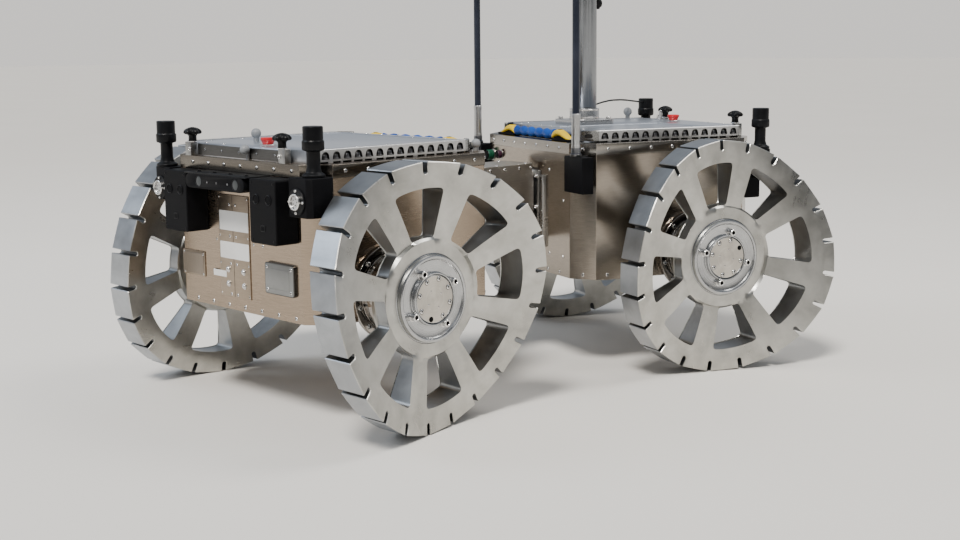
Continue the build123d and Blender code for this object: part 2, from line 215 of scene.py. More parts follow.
def brushed(name, color, dark, rough, grain=(8, 8, 220), turn=0.0, metallic=1.0, tilt=0.04, relief=0.00003, smears=0.3):
    """Sheet metal with a fine one-way grain, faint handling marks and cloudy tone."""
    mat, nt, bsdf = new_material(name)
    rot = (0.0, 0.0, -turn)
    fine = noise(nt, coords(nt, grain, rot), 6.0, 3.0, 0.6)
    broad = noise(nt, coords(nt, (1, 1, 1), rot), 3.5, 2.0, 0.45)
    smear = noise(nt, coords(nt, (2.0, 2.0, 6.0), rot), 3.0, 4.0, 0.6, 0.3)
    tone = math_node(nt, "ADD", math_node(nt, "MULTIPLY", fine, 1.0 - smears), math_node(nt, "MULTIPLY", broad, smears))
    col = mix_color(nt, remap(nt, tone, 0.32, 0.68, 0.0, 1.0), dark, color)
    nt.links.new(col, bsdf.inputs["Base Color"])
    r = math_node(nt, "ADD", remap(nt, smear, 0.3, 0.7, rough - tilt, rough + tilt), remap(nt, fine, 0.3, 0.7, -0.02, 0.02))
    nt.links.new(r, bsdf.inputs["Roughness"])
    bsdf.inputs["Metallic"].default_value = metallic
    bump(nt, bsdf, fine, 0.5, relief)
    return mat


def milled(name, color, dark, rough, pitch=900.0, bump_amount=0.12):
    """Machined aluminium: faint tool marks, cloudy oxide tone, soft scuffs."""
    mat, nt, bsdf = new_material(name)
    v = coords(nt, (1, 1, 1), attribute="local")
    marks = noise(nt, coords(nt, (150, 20, 20), attribute="local"), 1.0, 2.0, 0.5)
    cloud = noise(nt, v, 9.0, 5.0, 0.6)
    scuff = noise(nt, v, 34.0, 3.0, 0.55, 0.4)
    tone = math_node(nt, "ADD", math_node(nt, "MULTIPLY", cloud, 0.7), math_node(nt, "MULTIPLY", scuff, 0.3))
    col = mix_color(nt, remap(nt, tone, 0.36, 0.62, 0.0, 1.0), dark, color)
    nt.links.new(col, bsdf.inputs["Base Color"])
    r = math_node(nt, "ADD", remap(nt, cloud, 0.3, 0.7, rough - 0.05, rough + 0.06), remap(nt, marks, 0.3, 0.7, -0.03, 0.03))
    nt.links.new(r, bsdf.inputs["Roughness"])
    bsdf.inputs["Metallic"].default_value = 1.0
    bump(nt, bsdf, math_node(nt, "ADD", marks, math_node(nt, "MULTIPLY", scuff, 0.2)), bump_amount, 0.00008)
    return mat


def turned(name, color, dark, rough, rings=420.0, spread=0.0):
    """Lathe-turned metal: fine rings round the part's own axis (attribute 'polar')."""
    mat, nt, bsdf = new_material(name)
    at = node(nt, "ShaderNodeAttribute")
    at.attribute_name = "polar"
    sep = node(nt, "ShaderNodeSeparateXYZ")
    nt.links.new(at.outputs["Vector"], sep.inputs[0])
    comb = node(nt, "ShaderNodeCombineXYZ")
    nt.links.new(math_node(nt, "MULTIPLY", sep.outputs[0], rings), comb.inputs[0])
    nt.links.new(math_node(nt, "MULTIPLY", sep.outputs[2], rings), comb.inputs[2])
    ring = noise(nt, comb.outputs[0], 1.0, 2.0, 0.6)
    cloud = noise(nt, coords(nt), 30.0, 4.0, 0.6)
    col = mix_color(nt, remap(nt, math_node(nt, "ADD", math_node(nt, "MULTIPLY", ring, 0.5), math_node(nt, "MULTIPLY", cloud, 0.5)), 0.35, 0.62, 0.0, 1.0), dark, color)
    nt.links.new(col, bsdf.inputs["Base Color"])
    nt.links.new(remap(nt, ring, 0.3, 0.7, rough - 0.05, rough + 0.06), bsdf.inputs["Roughness"])
    bsdf.inputs["Metallic"].default_value = 1.0
    bsdf.inputs["Anisotropic"].default_value = spread
    way = node(nt, "ShaderNodeAttribute")
    way.attribute_name = "ring"
    turn = node(nt, "ShaderNodeVectorTransform", vector_type="VECTOR", convert_from="OBJECT", convert_to="WORLD")
    nt.links.new(way.outputs["Vector"], turn.inputs[0])
    nt.links.new(turn.outputs[0], bsdf.inputs["Tangent"])
    bump(nt, bsdf, ring, 0.18, 0.00008)
    return mat


def plastic(name, color, dark, rough, layer=0.0, grit=260.0, grit_bump=0.12, gloss=0.5):
    """Moulded or printed plastic; layer gives the fine horizontal print lines."""
    mat, nt, bsdf = new_material(name)
    bsdf.inputs["Specular IOR Level"].default_value = gloss
    v = coords(nt)
    grain = noise(nt, v, grit, 3.0, 0.6)
    cloud = noise(nt, v, 14.0, 4.0, 0.6)
    col = mix_color(nt, remap(nt, cloud, 0.35, 0.65, 0.0, 1.0), dark, color)
    nt.links.new(col, bsdf.inputs["Base Color"])
    nt.links.new(remap(nt, cloud, 0.3, 0.7, rough - 0.06, rough + 0.08), bsdf.inputs["Roughness"])
    height = math_node(nt, "MULTIPLY", grain, grit_bump * 4.0)
    if layer:
        lines = noise(nt, coords(nt, (2, 2, layer)), 1.0, 1.0, 0.4)
        height = math_node(nt, "ADD", height, math_node(nt, "MULTIPLY", lines, 1.2))
    bump(nt, bsdf, height, 0.35, 0.0004)
    return mat


MAT = {
    "steel_front": brushed("steel_front", (0.415, 0.33, 0.25), (0.295, 0.234, 0.178), 0.25, relief=0.000022),
    # front band: a darker copy of the rear band's steel, painted shade
    "band_front_shaded": brushed("band_front_shaded", (0.225, 0.20, 0.17), (0.14, 0.125, 0.106), 0.22),
    "band_rear": brushed("band_rear", (0.41, 0.38, 0.34), (0.29, 0.27, 0.24), 0.22, turn=YAW),
    "steel_plates": brushed("steel_plates", (0.42, 0.34, 0.26), (0.318, 0.257, 0.197), 0.36, relief=0.000022),
    "steel_joint": brushed("steel_joint", (0.56, 0.52, 0.465), (0.42, 0.39, 0.35), 0.40),
    "steel_rear": brushed("steel_rear", (0.40, 0.352, 0.298), (0.27, 0.237, 0.20), 0.21, turn=YAW),
    "plate": brushed("plate", (0.36, 0.30, 0.245), (0.26, 0.22, 0.18), 0.34, grain=(220, 8, 8)),
    "wheel": milled("wheel", (0.60, 0.592, 0.558), (0.39, 0.385, 0.36), 0.32),
    "tread": milled("tread", (0.46, 0.478, 0.50), (0.34, 0.354, 0.372), 0.38),
    # window walls: a darker copy of the wheel's milled metal, painted shade inside the windows
    "window_wall_shade": milled("window_wall_shade", (0.37, 0.38, 0.385), (0.25, 0.255, 0.26), 0.36),
    # slot walls: a darker copy of the tread's milled metal, painted shade inside the slots
    "slot": milled("slot", (0.24, 0.245, 0.25), (0.15, 0.155, 0.16), 0.42),
    "bracket": brushed("bracket", (0.38, 0.38, 0.37), (0.24, 0.24, 0.235), 0.28, grain=(60, 60, 60)),
    "hub": turned("hub", (0.54, 0.545, 0.55), (0.38, 0.385, 0.39), 0.24, spread=0.35),
    "cover": turned("cover", (0.66, 0.62, 0.555), (0.54, 0.505, 0.45), 0.34, spread=0.85),
    "alloy": brushed("alloy", (0.62, 0.62, 0.62), (0.46, 0.46, 0.46), 0.30, grain=(60, 60, 60)),
    "lid": brushed("lid", (0.55, 0.585, 0.64), (0.47, 0.50, 0.55), 0.31, grain=(5, 160, 5), metallic=0.9, relief=0.00001),
    "polished": brushed("polished", (0.42, 0.39, 0.36), (0.30, 0.28, 0.26), 0.12, grain=(10, 10, 90)),
    "chrome": brushed("chrome", (0.86, 0.86, 0.87), (0.76, 0.76, 0.77), 0.09, grain=(40, 40, 40)),
    "screw": brushed("screw", (0.80, 0.79, 0.77), (0.62, 0.61, 0.60), 0.20, grain=(90, 90, 90)),
    "rail_screw": brushed("rail_screw", (0.15, 0.15, 0.155), (0.09, 0.09, 0.095), 0.32, grain=(90, 90, 90)),
    "gunmetal": brushed("gunmetal", (0.30, 0.305, 0.315), (0.19, 0.193, 0.20), 0.32, grain=(90, 90, 90)),
    # lid_edge: dark metal of the lid's edge strip; also used as painted shade in the rail pockets, on the rail corners
    # and on the cover's sides
    "lid_edge": brushed("lid_edge", (0.115, 0.113, 0.11), (0.07, 0.069, 0.067), 0.30, grain=(8, 8, 160)),
    "grey": plastic("grey", (0.225, 0.225, 0.215), (0.17, 0.17, 0.162), 0.46, gloss=0.35),
    "dark": plastic("dark", (0.003, 0.003, 0.0035), (0.0015, 0.0015, 0.002), 0.6, gloss=0.08),
    "printed": plastic("printed", (0.0042, 0.0042, 0.0052), (0.002, 0.002, 0.0026), 0.52, layer=900.0, gloss=0.09),
    "black_metal": plastic("black_metal", (0.0055, 0.0058, 0.0068), (0.003, 0.0032, 0.0038), 0.38, gloss=0.15),
    "knob": plastic("knob", (0.005, 0.005, 0.0055), (0.0025, 0.0025, 0.003), 0.34, gloss=0.16),
    "red": plastic("red", (0.58, 0.006, 0.012), (0.44, 0.004, 0.008), 0.30),
    "blue": plastic("blue", (0.003, 0.075, 0.36), (0.002, 0.042, 0.24), 0.38, gloss=0.25),
    "yellow": plastic("yellow", (0.80, 0.55, 0.004), (0.66, 0.42, 0.003), 0.38, gloss=0.3),
    "green": plastic("green", (0.008, 0.085, 0.042), (0.005, 0.052, 0.026), 0.36, gloss=0.35),
    "plum": plastic("plum", (0.060, 0.020, 0.040), (0.040, 0.013, 0.026), 0.36, gloss=0.35),
    "ball": plastic("ball", (0.25, 0.26, 0.272), (0.18, 0.188, 0.198), 0.46, grit=900.0, grit_bump=0.3),
    "paper": plastic("paper", (0.70, 0.69, 0.67), (0.64, 0.63, 0.61), 0.42, gloss=0.3),
    "radome": plastic("radome", (0.018, 0.022, 0.036), (0.010, 0.013, 0.023), 0.32, gloss=0.4),
    "mast": brushed("mast", (0.28, 0.293, 0.31), (0.20, 0.21, 0.223), 0.24, grain=(160, 160, 3)),
    "lens": plastic("lens", (0.045, 0.05, 0.052), (0.03, 0.033, 0.035), 0.30, grit_bump=0.0, gloss=0.3),
    "glass": plastic("glass", (0.004, 0.004, 0.009), (0.002, 0.002, 0.005), 0.06, grit_bump=0.0, gloss=0.8),
    "cable": plastic("cable", (0.007, 0.007, 0.0075), (0.004, 0.004, 0.0045), 0.45, gloss=0.25),
}


# ---------------------------------------------------------------- geometry
class Draft:
    """Collects faces of one piece in a module's own axes, in millimetres."""

    def __init__(self):
        self.v, self.f, self.m, self.polar = [], [], [], []

    def add(self, verts, faces, mat=0, polar=None):
        base = len(self.v)
        self.v.extend([tuple(p) for p in verts])
        self.polar.extend(polar if polar is not None else [(0.0, 0.0, 0.0)] * len(verts))
        self.f.extend([tuple(i + base for i in f) for f in faces])
        self.m.extend([mat] * len(faces))

    def prism(self, outline, depth, plane=None, mat=0, chamfer=0.0, back=True):
        """A flat outline pushed out along the plane's normal, with a chamfered rim."""
        plane = plane or Matrix.Identity(4)
        pts = [Vector((x, y, 0.0)) for x, y in outline]
        area = sum(a.x * b.y - b.x * a.y for a, b in zip(pts, pts[1:] + pts[:1]))
        if area < 0:
            pts.reverse()
        n = len(pts)
        inner = inset(pts, chamfer) if chamfer else pts
        sign = 1.0 if depth >= 0 else -1.0
        rings = [[p for p in pts]]
        if chamfer:
            rings.append([Vector((p.x, p.y, depth - sign * chamfer)) for p in pts])
            rings.append([Vector((p.x, p.y, depth)) for p in inner])
        else:
            rings.append([Vector((p.x, p.y, depth)) for p in pts])
        verts = [plane @ p for ring in rings for p in ring]
        faces = []
        for r in range(len(rings) - 1):
            for i in range(n):
                j = (i + 1) % n
                quad = (r * n + i, r * n + j, (r + 1) * n + j, (r + 1) * n + i)
                faces.append(quad if sign > 0 else quad[::-1])
        top = tuple(range((len(rings) - 1) * n, len(rings) * n))
        faces.append(top if sign > 0 else top[::-1])
        if back:
            bottom = tuple(range(n))[::-1]
            faces.append(bottom if sign > 0 else bottom[::-1])
        self.add(verts, faces, mat)

    def lathe(self, profile, plane=None, mat=0, steps=32, mats=None):
        """A profile of (radius, height) turned round the plane's normal."""
        plane = plane or Matrix.Identity(4)
        verts, polar, rows = [], [], []
        for r, h in profile:
            if r < 1e-6:
                rows.append([len(verts)])
                verts.append(plane @ Vector((0, 0, h)))
                polar.append((0.0, 0.0, h / 1000.0))
            else:
                row = []
                for k in range(steps):
                    a = 2 * math.pi * k / steps
                    row.append(len(verts))
                    verts.append(plane @ Vector((r * math.cos(a), r * math.sin(a), h)))
                    polar.append((r / 1000.0, a, h / 1000.0))
                rows.append(row)
        faces, fm = [], []
        for s, (a, b) in enumerate(zip(rows, rows[1:])):
            m = mats[s] if mats else mat
            if len(a) == 1 and len(b) == 1:
                continue
            for k in range(steps):
                j = (k + 1) % steps
                if len(a) == 1:
                    faces.append((a[0], b[j], b[k]))
                elif len(b) == 1:
                    faces.append((a[k], a[j], b[0]))
                else:
                    faces.append((a[k], a[j], b[j], b[k]))
                fm.append(m)
        base = len(self.v)
        self.v.extend([tuple(p) for p in verts])
        self.polar.extend(polar)
        self.f.extend([tuple(i + base for i in f) for f in faces])
        self.m.extend(fm)

    def tube(self, path, radius, mat=0, steps=12):
        """A round bar along a path of points, with flat ends."""
        path = [Vector(p) for p in path]
        rings, verts = [], []
        up = Vector((0, 0, 1))
        for i, p in enumerate(path):
            t = (path[min(i + 1, len(path) - 1)] - path[max(i - 1, 0)]).normalized()
            side = t.cross(up)
            side = side.normalized() if side.length > 1e-3 else Vector((1, 0, 0))
            nrm = side.cross(t)
            r = radius[i] if isinstance(radius, (list, tuple)) else radius
            ring = []
            for k in range(steps):
                a = 2 * math.pi * k / steps
                ring.append(len(verts))
                verts.append(p + side * (r * math.cos(a)) + nrm * (r * math.sin(a)))
            rings.append(ring)
        faces = []
        for a, b in zip(rings, rings[1:]):
            for k in range(steps):
                j = (k + 1) % steps
                faces.append((a[k], a[j], b[j], b[k]))
        faces.append(tuple(rings[0])[::-1])
        faces.append(tuple(rings[-1]))
        self.add(verts, faces, mat)


def inset(pts, d):
    """A closed outline moved inwards by d (outline counter-clockwise)."""
    n, out = len(pts), []
    for i, p in enumerate(pts):
        a, b = pts[i - 1], pts[(i + 1) % n]
        e1, e2 = (p - a).normalized(), (b - p).normalized()
        n1, n2 = Vector((-e1.y, e1.x, 0)), Vector((-e2.y, e2.x, 0))
        m = n1 + n2
        m = m.normalized() if m.length > 1e-6 else n1
        c = max(0.35, m.dot(n1))
        out.append(Vector((p.x + m.x * d / c, p.y + m.y * d / c, 0)))
    return out


def rounded(w, h, r, steps=5, cx=0.0, cy=0.0):
    pts = []
    for qx, qy, a0 in ((1, -1, -90), (1, 1, 0), (-1, 1, 90), (-1, -1, 180)):
        x0, y0 = cx + qx * (w / 2 - r), cy + qy * (h / 2 - r)
        for k in range(steps + 1):
            a = math.radians(a0 + 90.0 * k / steps)
            pts.append((x0 + r * math.cos(a), y0 + r * math.sin(a)))
    return pts


def circle(r, steps=32, cx=0.0, cy=0.0):
    return [(cx + r * math.cos(2 * math.pi * k / steps), cy + r * math.sin(2 * math.pi * k / steps)) for k in range(steps)]


# facing: columns are the plane's own x, y and normal, in module axes
FACE_AXES = {
    "up": ((1, 0, 0), (0, 1, 0), (0, 0, 1)),
    "down": ((1, 0, 0), (0, -1, 0), (0, 0, -1)),
    "front": ((1, 0, 0), (0, 0, 1), (0, -1, 0)),
    "back": ((-1, 0, 0), (0, 0, 1), (0, 1, 0)),
    "left": ((0, 1, 0), (0, 0, 1), (1, 0, 0)),
    "right": ((0, -1, 0), (0, 0, 1), (-1, 0, 0)),
}


def at(x, y, z, facing="up", turn=0.0):
    ax = FACE_AXES[facing]
    rot = Matrix((ax[0], ax[1], ax[2])).transposed().to_4x4()
    return Matrix.Translation((x, y, z)) @ rot @ Matrix.Rotation(turn, 4, "Z")


def at_normal(x, y, z, normal, turn=0.0):
    n = Vector(normal).normalized()
    up = Vector((0, 0, 1)) if abs(n.z) < 0.9 else Vector((0, 1, 0))
    xd = up.cross(n).normalized()
    yd = n.cross(xd)
    rot = Matrix((xd, yd, n)).transposed().to_4x4()
    return Matrix.Translation((x, y, z)) @ rot @ Matrix.Rotation(turn, 4, "Z")


def finish_mesh(name, verts, faces, mats, module_matrix, materials, body, smooth_angle=32.0,
                bevel=0.0, segments=2, polar=None, local=None, replaces=(), merge=True):
    mesh = bpy.data.meshes.new(name)
    w = TO_M @ module_matrix
    vv = [w @ Vector(v) for v in verts]
    mesh.from_pydata(vv, [], faces)
    for m in materials:
        mesh.materials.append(MAT[m] if isinstance(m, str) else m)
    mesh.polygons.foreach_set("material_index", mats)
    loc = np.array(local if local is not None else verts, dtype=np.float32) / 1000.0
    at_ = mesh.attributes.new("local", "FLOAT_VECTOR", "POINT")
    at_.data.foreach_set("vector", loc.astype(np.float32).ravel())
    if polar is not None:
        ring = [w.to_3x3() @ Vector((-v[1], v[0], 0.0)) for v in verts]
        ar = mesh.attributes.new("ring", "FLOAT_VECTOR", "POINT")
        ar.data.foreach_set("vector", np.array(ring, dtype=np.float32).ravel())
        ap = mesh.attributes.new("polar", "FLOAT_VECTOR", "POINT")
        ap.data.foreach_set("vector", np.array(polar, dtype=np.float32).ravel())
    mesh.update()
    bm = bmesh.new()
    bm.from_mesh(mesh)
    if merge:
        bmesh.ops.remove_doubles(bm, verts=bm.verts, dist=0.00001)
    bmesh.ops.recalc_face_normals(bm, faces=bm.faces)
    bm.to_mesh(mesh)
    bm.free()
    mesh.polygons.foreach_set("use_smooth", [True] * len(mesh.polygons))
    obj = bpy.data.objects.new(name, mesh)
    SCENE.collection.objects.link(obj)
    if bevel:
        mod = obj.modifiers.new("edge", "BEVEL")
        mod.width = bevel / 1000.0
        mod.segments = segments
        mod.limit_method = "ANGLE"
        mod.angle_limit = math.radians(smooth_angle)
        mod.harden_normals = True
        mod.use_clamp_overlap = True
    else:
        mesh.set_sharp_from_angle(angle=math.radians(smooth_angle))
    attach(obj, body)
    if replaces:
        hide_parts(*replaces)
    return obj


def emit(draft, name, module, materials, body=None, bevel=0.0, segments=2, replaces=(), smooth_angle=32.0, matrix=None):
    return finish_mesh(
        name, draft.v, draft.f, draft.m, matrix if matrix is not None else MODULE[module], materials,
        body or CHASSIS[module], smooth_angle, bevel, segments, draft.polar, None, replaces)


def soften(node_name, material, bevel=0.6, segments=2, angle=28.0, band=None, swell=0.0):
    """The CAD node's own shape with its edges broken, in place of the sharp one."""
    src = NODES[node_name]
    mesh = src.data.copy()
    mesh.name = node_name + "_soft"
    mesh.materials.clear()
    mesh.materials.append(MAT[material])
    if band:
        mesh.materials.append(MAT[band])
    bm = bmesh.new()
    bm.from_mesh(mesh)
    bmesh.ops.remove_doubles(bm, verts=bm.verts, dist=0.000005)
    bmesh.ops.dissolve_limit(bm, angle_limit=math.radians(1.0), verts=bm.verts, edges=bm.edges)
    for f in bm.faces:
        f.smooth = True
        lowest = min(v.co.z for v in f.verts) * 1000.0 - GROUND
        f.material_index = 1 if band and lowest > BODY_H - BAND_H - 2.0 and abs(f.normal.z) < 0.5 else 0
    for e in bm.edges:
        e.smooth = True
    if swell:
        bm.normal_update()
        for v, n in [(v, v.normal.copy()) for v in bm.verts]:
            v.co += n * (swell / 1000.0)
    bm.to_mesh(mesh)
    bm.free()
    obj = bpy.data.objects.new(node_name + "_soft", mesh)
    SCENE.collection.objects.link(obj)
    if bevel:
        mod = obj.modifiers.new("edge", "BEVEL")
        mod.width = bevel / 1000.0
        mod.segments = segments
        mod.limit_method = "ANGLE"
        mod.angle_limit = math.radians(angle)
        mod.harden_normals = True
        mod.use_clamp_overlap = True
    else:
        mesh.set_sharp_from_angle(angle=math.radians(angle))
    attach(obj, src["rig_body"])
    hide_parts(node_name)
    return obj


# ------------------------------------------------------------------ wheels
SLOT_N, SLOT_W, SLOT_D = 21, 8.0, 20.0
WIN_N, WIN_R1, WIN_R2, WIN_A1, WIN_A2 = 8, 99.0, 183.0, 13.3, 15.4
BOSS_R, HUB_R = 96.0, 75.0


def polar_pt(r, deg):
    a = math.radians(deg)
    return Vector((r * math.cos(a), r * math.sin(a), 0))


def tread_outline(slot_at):
    """Facets between slots, with the slots' round inner ends."""
    pts = []
    pitch = 360.0 / SLOT_N
    hw = SLOT_W / 2
    for k in range(SLOT_N):
        a = slot_at + k * pitch
        ax = Vector((math.cos(math.radians(a)), math.sin(math.radians(a)), 0))
        ay = Vector((-ax.y, ax.x, 0))
        r_end = WHEEL_R - SLOT_D + hw
        pts.append(ax * (WHEEL_R - 0.2) + ay * -(hw + 1.2))
        pts.append(ax * (WHEEL_R - 1.4) + ay * -hw)
        pts.append(ax * (WHEEL_R - 9.0) + ay * -hw)
        for s in range(9):
            b = math.radians(-90 - 180.0 * s / 8)
            pts.append(ax * (r_end + hw * math.cos(b)) + ay * (hw * math.sin(b)))
        pts.append(ax * (WHEEL_R - 9.0) + ay * hw)
        pts.append(ax * (WHEEL_R - 1.4) + ay * hw)
        pts.append(ax * (WHEEL_R - 0.2) + ay * (hw + 1.2))
        for s in range(1, 6):
            d = pitch * s / 6.0
            half = math.radians(pitch / 2)
            off = math.radians(d - pitch / 2)
            flat = WHEEL_R * math.cos(half) / math.cos(off)
            r = 0.45 * WHEEL_R + 0.55 * flat
            pts.append(polar_pt(r, a + d))
    return pts


def window_outline(k, window_at):
    mid = window_at + k * 360.0 / WIN_N
    inner = [polar_pt(WIN_R1, mid + WIN_A1 * t) for t in (-1, -0.6, -0.2, 0.2, 0.6, 1)]
    outer = [polar_pt(WIN_R2, mid + WIN_A2 * t) for t in (1, 0.75, 0.5, 0.25, 0, -0.25, -0.5, -0.75, -1)]
    corners = inner + outer
    n = len(corners)
    hard = {0, 5, 6, n - 1}
    out = []
    for i, p in enumerate(corners):
        if i not in hard:
            out.append(p)
            continue
        a, b = corners[i - 1], corners[(i + 1) % n]
        rad = 9.0
        ta, tb = (a - p).normalized(), (b - p).normalized()
        ang = ta.angle(tb)
        t = min(rad / math.tan(ang / 2), 0.9 * (a - p).length if (i - 1) % n not in hard else 99, 0.9 * (b - p).length if (i + 1) % n not in hard else 99)
        p1, p2 = p + ta * t, p + tb * t
        for s in range(7):
            u = s / 6.0
            out.append(p1 * (1 - u) ** 2 + p * (2 * u * (1 - u)) + p2 * u ** 2)
    return out


def dense(pts, step):
    out = []
    for a, b in zip(pts, pts[1:] + pts[:1]):
        n = max(1, int(math.ceil((b - a).length / step)))
        for k in range(n):
            out.append(a.lerp(b, k / n))
    return out


def inside(poly, x, y):
    """Even-odd test of many points against one closed outline."""
    px = np.array([p.x for p in poly])
    py = np.array([p.y for p in poly])
    res = np.zeros(len(x), bool)
    j = len(px) - 1
    for i in range(len(px)):
        cond = (py[i] > y) != (py[j] > y)
        with np.errstate(divide="ignore", invalid="ignore"):
            xc = (px[j] - px[i]) * (y - py[i]) / (py[j] - py[i]) + px[i]
        res ^= cond & (x < xc)
        j = i
    return res


def wave(x, y):
    return WAVE * (x * x - y * y) / WHEEL_R ** 2


def front_height(x, y):
    r = math.hypot(x, y)
    h = wave(x, y) - 0.2 * (WHEEL_R - r)
    k = min(1.0, max(0.0, (r - BOSS_R) / 2.5))
    return -25.5 * (1 - k) + h * k


def back_height(x, y):
    r = math.hypot(x, y)
    h = wave(x, y) - WHEEL_T + 0.12 * max(0.0, min(190.0, WHEEL_R) - r)
    k = min(1.0, max(0.0, (r - BOSS_R) / 2.5))
    return -61.0 * (1 - k) + h * k


def wheel_disc(window_at, slot_at):
    """The disc's faces, walls and broken edges, as one closed skin."""
    c = 1.1
    tread = dense(tread_outline(slot_at), 9.0)
    windows = [dense(window_outline(k, window_at), 9.0) for k in range(WIN_N)]
    bore = [polar_pt(HUB_R, 360.0 * k / 72) for k in range(72)]
    bore_in = [polar_pt(HUB_R, 360.0 * k / 72) for k in range(72)]
    tread_in = inset(tread, c)
    windows_in = [inset(w, -c) for w in windows]
    loops_flat = [tread_in] + windows_in + [bore_in]
    loops_wall = [tread] + windows + [bore]

    co, edges = [], []
    for loop in loops_flat:
        base = len(co)
        co.extend(loop)
        edges.extend([(base + i, base + (i + 1) % len(loop)) for i in range(len(loop))])
    n_loops = len(co)
    grid = []
    for r in (BOSS_R - 8, BOSS_R, BOSS_R + 2.5, 107, 116, 125, 134, 143, 152, 161, 170, 178, 187, 194, 201, 208, 214, 219):
        n = int(2 * math.pi * r / (9.5 if r > 104 else 6.0))
        for k in range(n):
            grid.append(polar_pt(r, 360.0 * (k + 0.5 * (int(r) % 2)) / n))
    gx = np.array([p.x for p in grid])
    gy = np.array([p.y for p in grid])
    ok = inside(tread, gx, gy)
    for w in windows:
        ok &= ~inside(w, gx, gy)
    ok &= ~inside(bore, gx, gy)
    lx = np.array([p.x for p in co])
    ly = np.array([p.y for p in co])
    d2 = ((gx[:, None] - lx[None, :]) ** 2 + (gy[:, None] - ly[None, :]) ** 2).min(1)
    ok &= d2 > 3.2 ** 2
    co = co + [g for g, keep in zip(grid, ok) if keep]
    res = delaunay_2d_cdt([Vector((p.x, p.y)) for p in co], edges, [], 0, 1e-5)
    verts2, faces2 = res[0], res[2]
    cx = np.array([sum(verts2[i].x for i in f) / len(f) for f in faces2])
    cy = np.array([sum(verts2[i].y for i in f) / len(f) for f in faces2])
    keep = inside(tread_in, cx, cy)
    for w in windows_in:
        keep &= ~inside(w, cx, cy)
    keep &= ~inside(bore_in, cx, cy)
    flat = [tuple(f) for f, k in zip(faces2, keep) if k]

    verts, faces, mats = [], [], []
    n2 = len(verts2)
    for p in verts2:
        verts.append((p.x, p.y, front_height(p.x, p.y)))
    for p in verts2:
        verts.append((p.x, p.y, back_height(p.x, p.y)))
    for f in flat:
        faces.append(f)
        mats.append(0)
        faces.append(tuple(i + n2 for i in reversed(f)))
        mats.append(0)
    for li, (fl, wl) in enumerate(zip(loops_flat, loops_wall)):
        n = len(wl)
        cc = c if li <= WIN_N else 0.0
        a = len(verts)
        verts.extend([(p.x, p.y, front_height(p.x, p.y)) for p in fl])
        b = len(verts)
        verts.extend([(p.x, p.y, front_height(q.x, q.y) - cc) for p, q in zip(wl, fl)])
        d = len(verts)
        verts.extend([(p.x, p.y, back_height(q.x, q.y) + cc) for p, q in zip(wl, fl)])
        e = len(verts)
        verts.extend([(p.x, p.y, back_height(p.x, p.y)) for p in fl])
        for i in range(n):
            j = (i + 1) % n
            if cc:
                faces.append((a + i, a + j, b + j, b + i)); mats.append(0)
                faces.append((d + i, d + j, e + j, e + i)); mats.append(0)
            faces.append((b + i, b + j, d + j, d + i))
            # walls down inside the slots take the darker slot material: painted shade
            in_slot_shade = (wl[i] + wl[j]).length / 2 < WHEEL_R - 3.0
            # window walls (index 3) take the darker wall material: painted shade
            mats.append((2 if in_slot_shade else 1) if li == 0 else 3)
    return verts, faces, mats


def wheel_matrix(module, side, crest):
    """From the wheel's own axes (x to the wave's crest, z outwards) to the module's."""
    base = at(side * WHEEL_X, WHEEL_Y, WHEEL_R - GROUND, "left" if side > 0 else "right")
    return MODULE[module] @ base @ Matrix.Rotation(math.radians(crest), 4, "Z")


WHEELS = {
    # module, side, the wave's crest, first window and first slot from the crest
    "front_left": ("front", 1, 209.0, 23.9, 4.2),
    "front_right": ("front", -1, 104.0, 38.0, 9.27),
    "rear_left": ("rear", -1, -15.0, 23.9, 4.2),
    "rear_right": ("rear", 1, 98.0, 37.8, 0.5),
}


def hub_draft():
    d = Draft()
    prof = [(75, -62), (75, -27.0), (74.2, -26.0), (73.0, -25.4), (72.6, -20.0), (71.8, -17.9), (70.0, -16.8),
            (67.5, -16.8), (66.2, -17.6), (65.4, -19.4), (63.6, -21.0), (60, -21.8), (52, -22.2), (45.5, -22.4),
            (44.8, -22.0), (44.4, -17.6), (43.8, -16.2), (42.6, -15.4), (41.2, -15.8), (40.7, -17.4), (40.3, -19.0),
            (39.9, -17.0), (39.4, -16.4), (38.6, -16.0)]
    d.lathe(prof, steps=96, mats=[0] * 12 + [0] * 11)
    d.lathe([(38.6, -16.0), (30, -15.9), (18, -15.85), (0, -15.8)], steps=96, mat=1)
    d.lathe([(20.3, -62), (75, -62)], steps=48, mat=0)
    return d


def cap_screw(d, plane, r=4.6, h=9.0, socket=2.6, mat=0, mat_dark=1, base=0.0):
    """Socket-head screw: plain drum with a dark round socket."""
    d.lathe([(r + 1.5, base), (r + 1.4, base + 0.7), (r, base + 0.8), (r, base + h - 0.8), (r - 0.8, base + h), (socket + 0.35, base + h)],
            plane, mat, steps=20)
    hexa = [(socket * 1.12 * math.cos(math.radians(60 * k + 10)), socket * 1.12 * math.sin(math.radians(60 * k + 10))) for k in range(6)]
    verts, faces = [], []
    ring = 20
    for k in range(ring):
        a = 2 * math.pi * k / ring
        verts.append(plane @ Vector(((socket + 0.35) * math.cos(a), (socket + 0.35) * math.sin(a), base + h)))
    for k in range(ring):
        a = 2 * math.pi * k / ring
        verts.append(plane @ Vector((socket * math.cos(a), socket * math.sin(a), base + h - 0.5)))
    for k in range(ring):
        faces.append((k, (k + 1) % ring, ring + (k + 1) % ring, ring + k))
    d.add(verts, faces, mat)
    verts = [plane @ Vector((socket * math.cos(2 * math.pi * k / ring), socket * math.sin(2 * math.pi * k / ring), base + h - 0.5)) for k in range(ring)]
    verts += [plane @ Vector((socket * 0.95 * math.cos(2 * math.pi * k / ring), socket * 0.95 * math.sin(2 * math.pi * k / ring), base + h - 3.4)) for k in range(ring)]
    faces = [(k, (k + 1) % ring, ring + (k + 1) % ring, ring + k) for k in range(ring)]
    faces.append(tuple(range(ring, 2 * ring)))
    d.add(verts, faces, mat_dark)


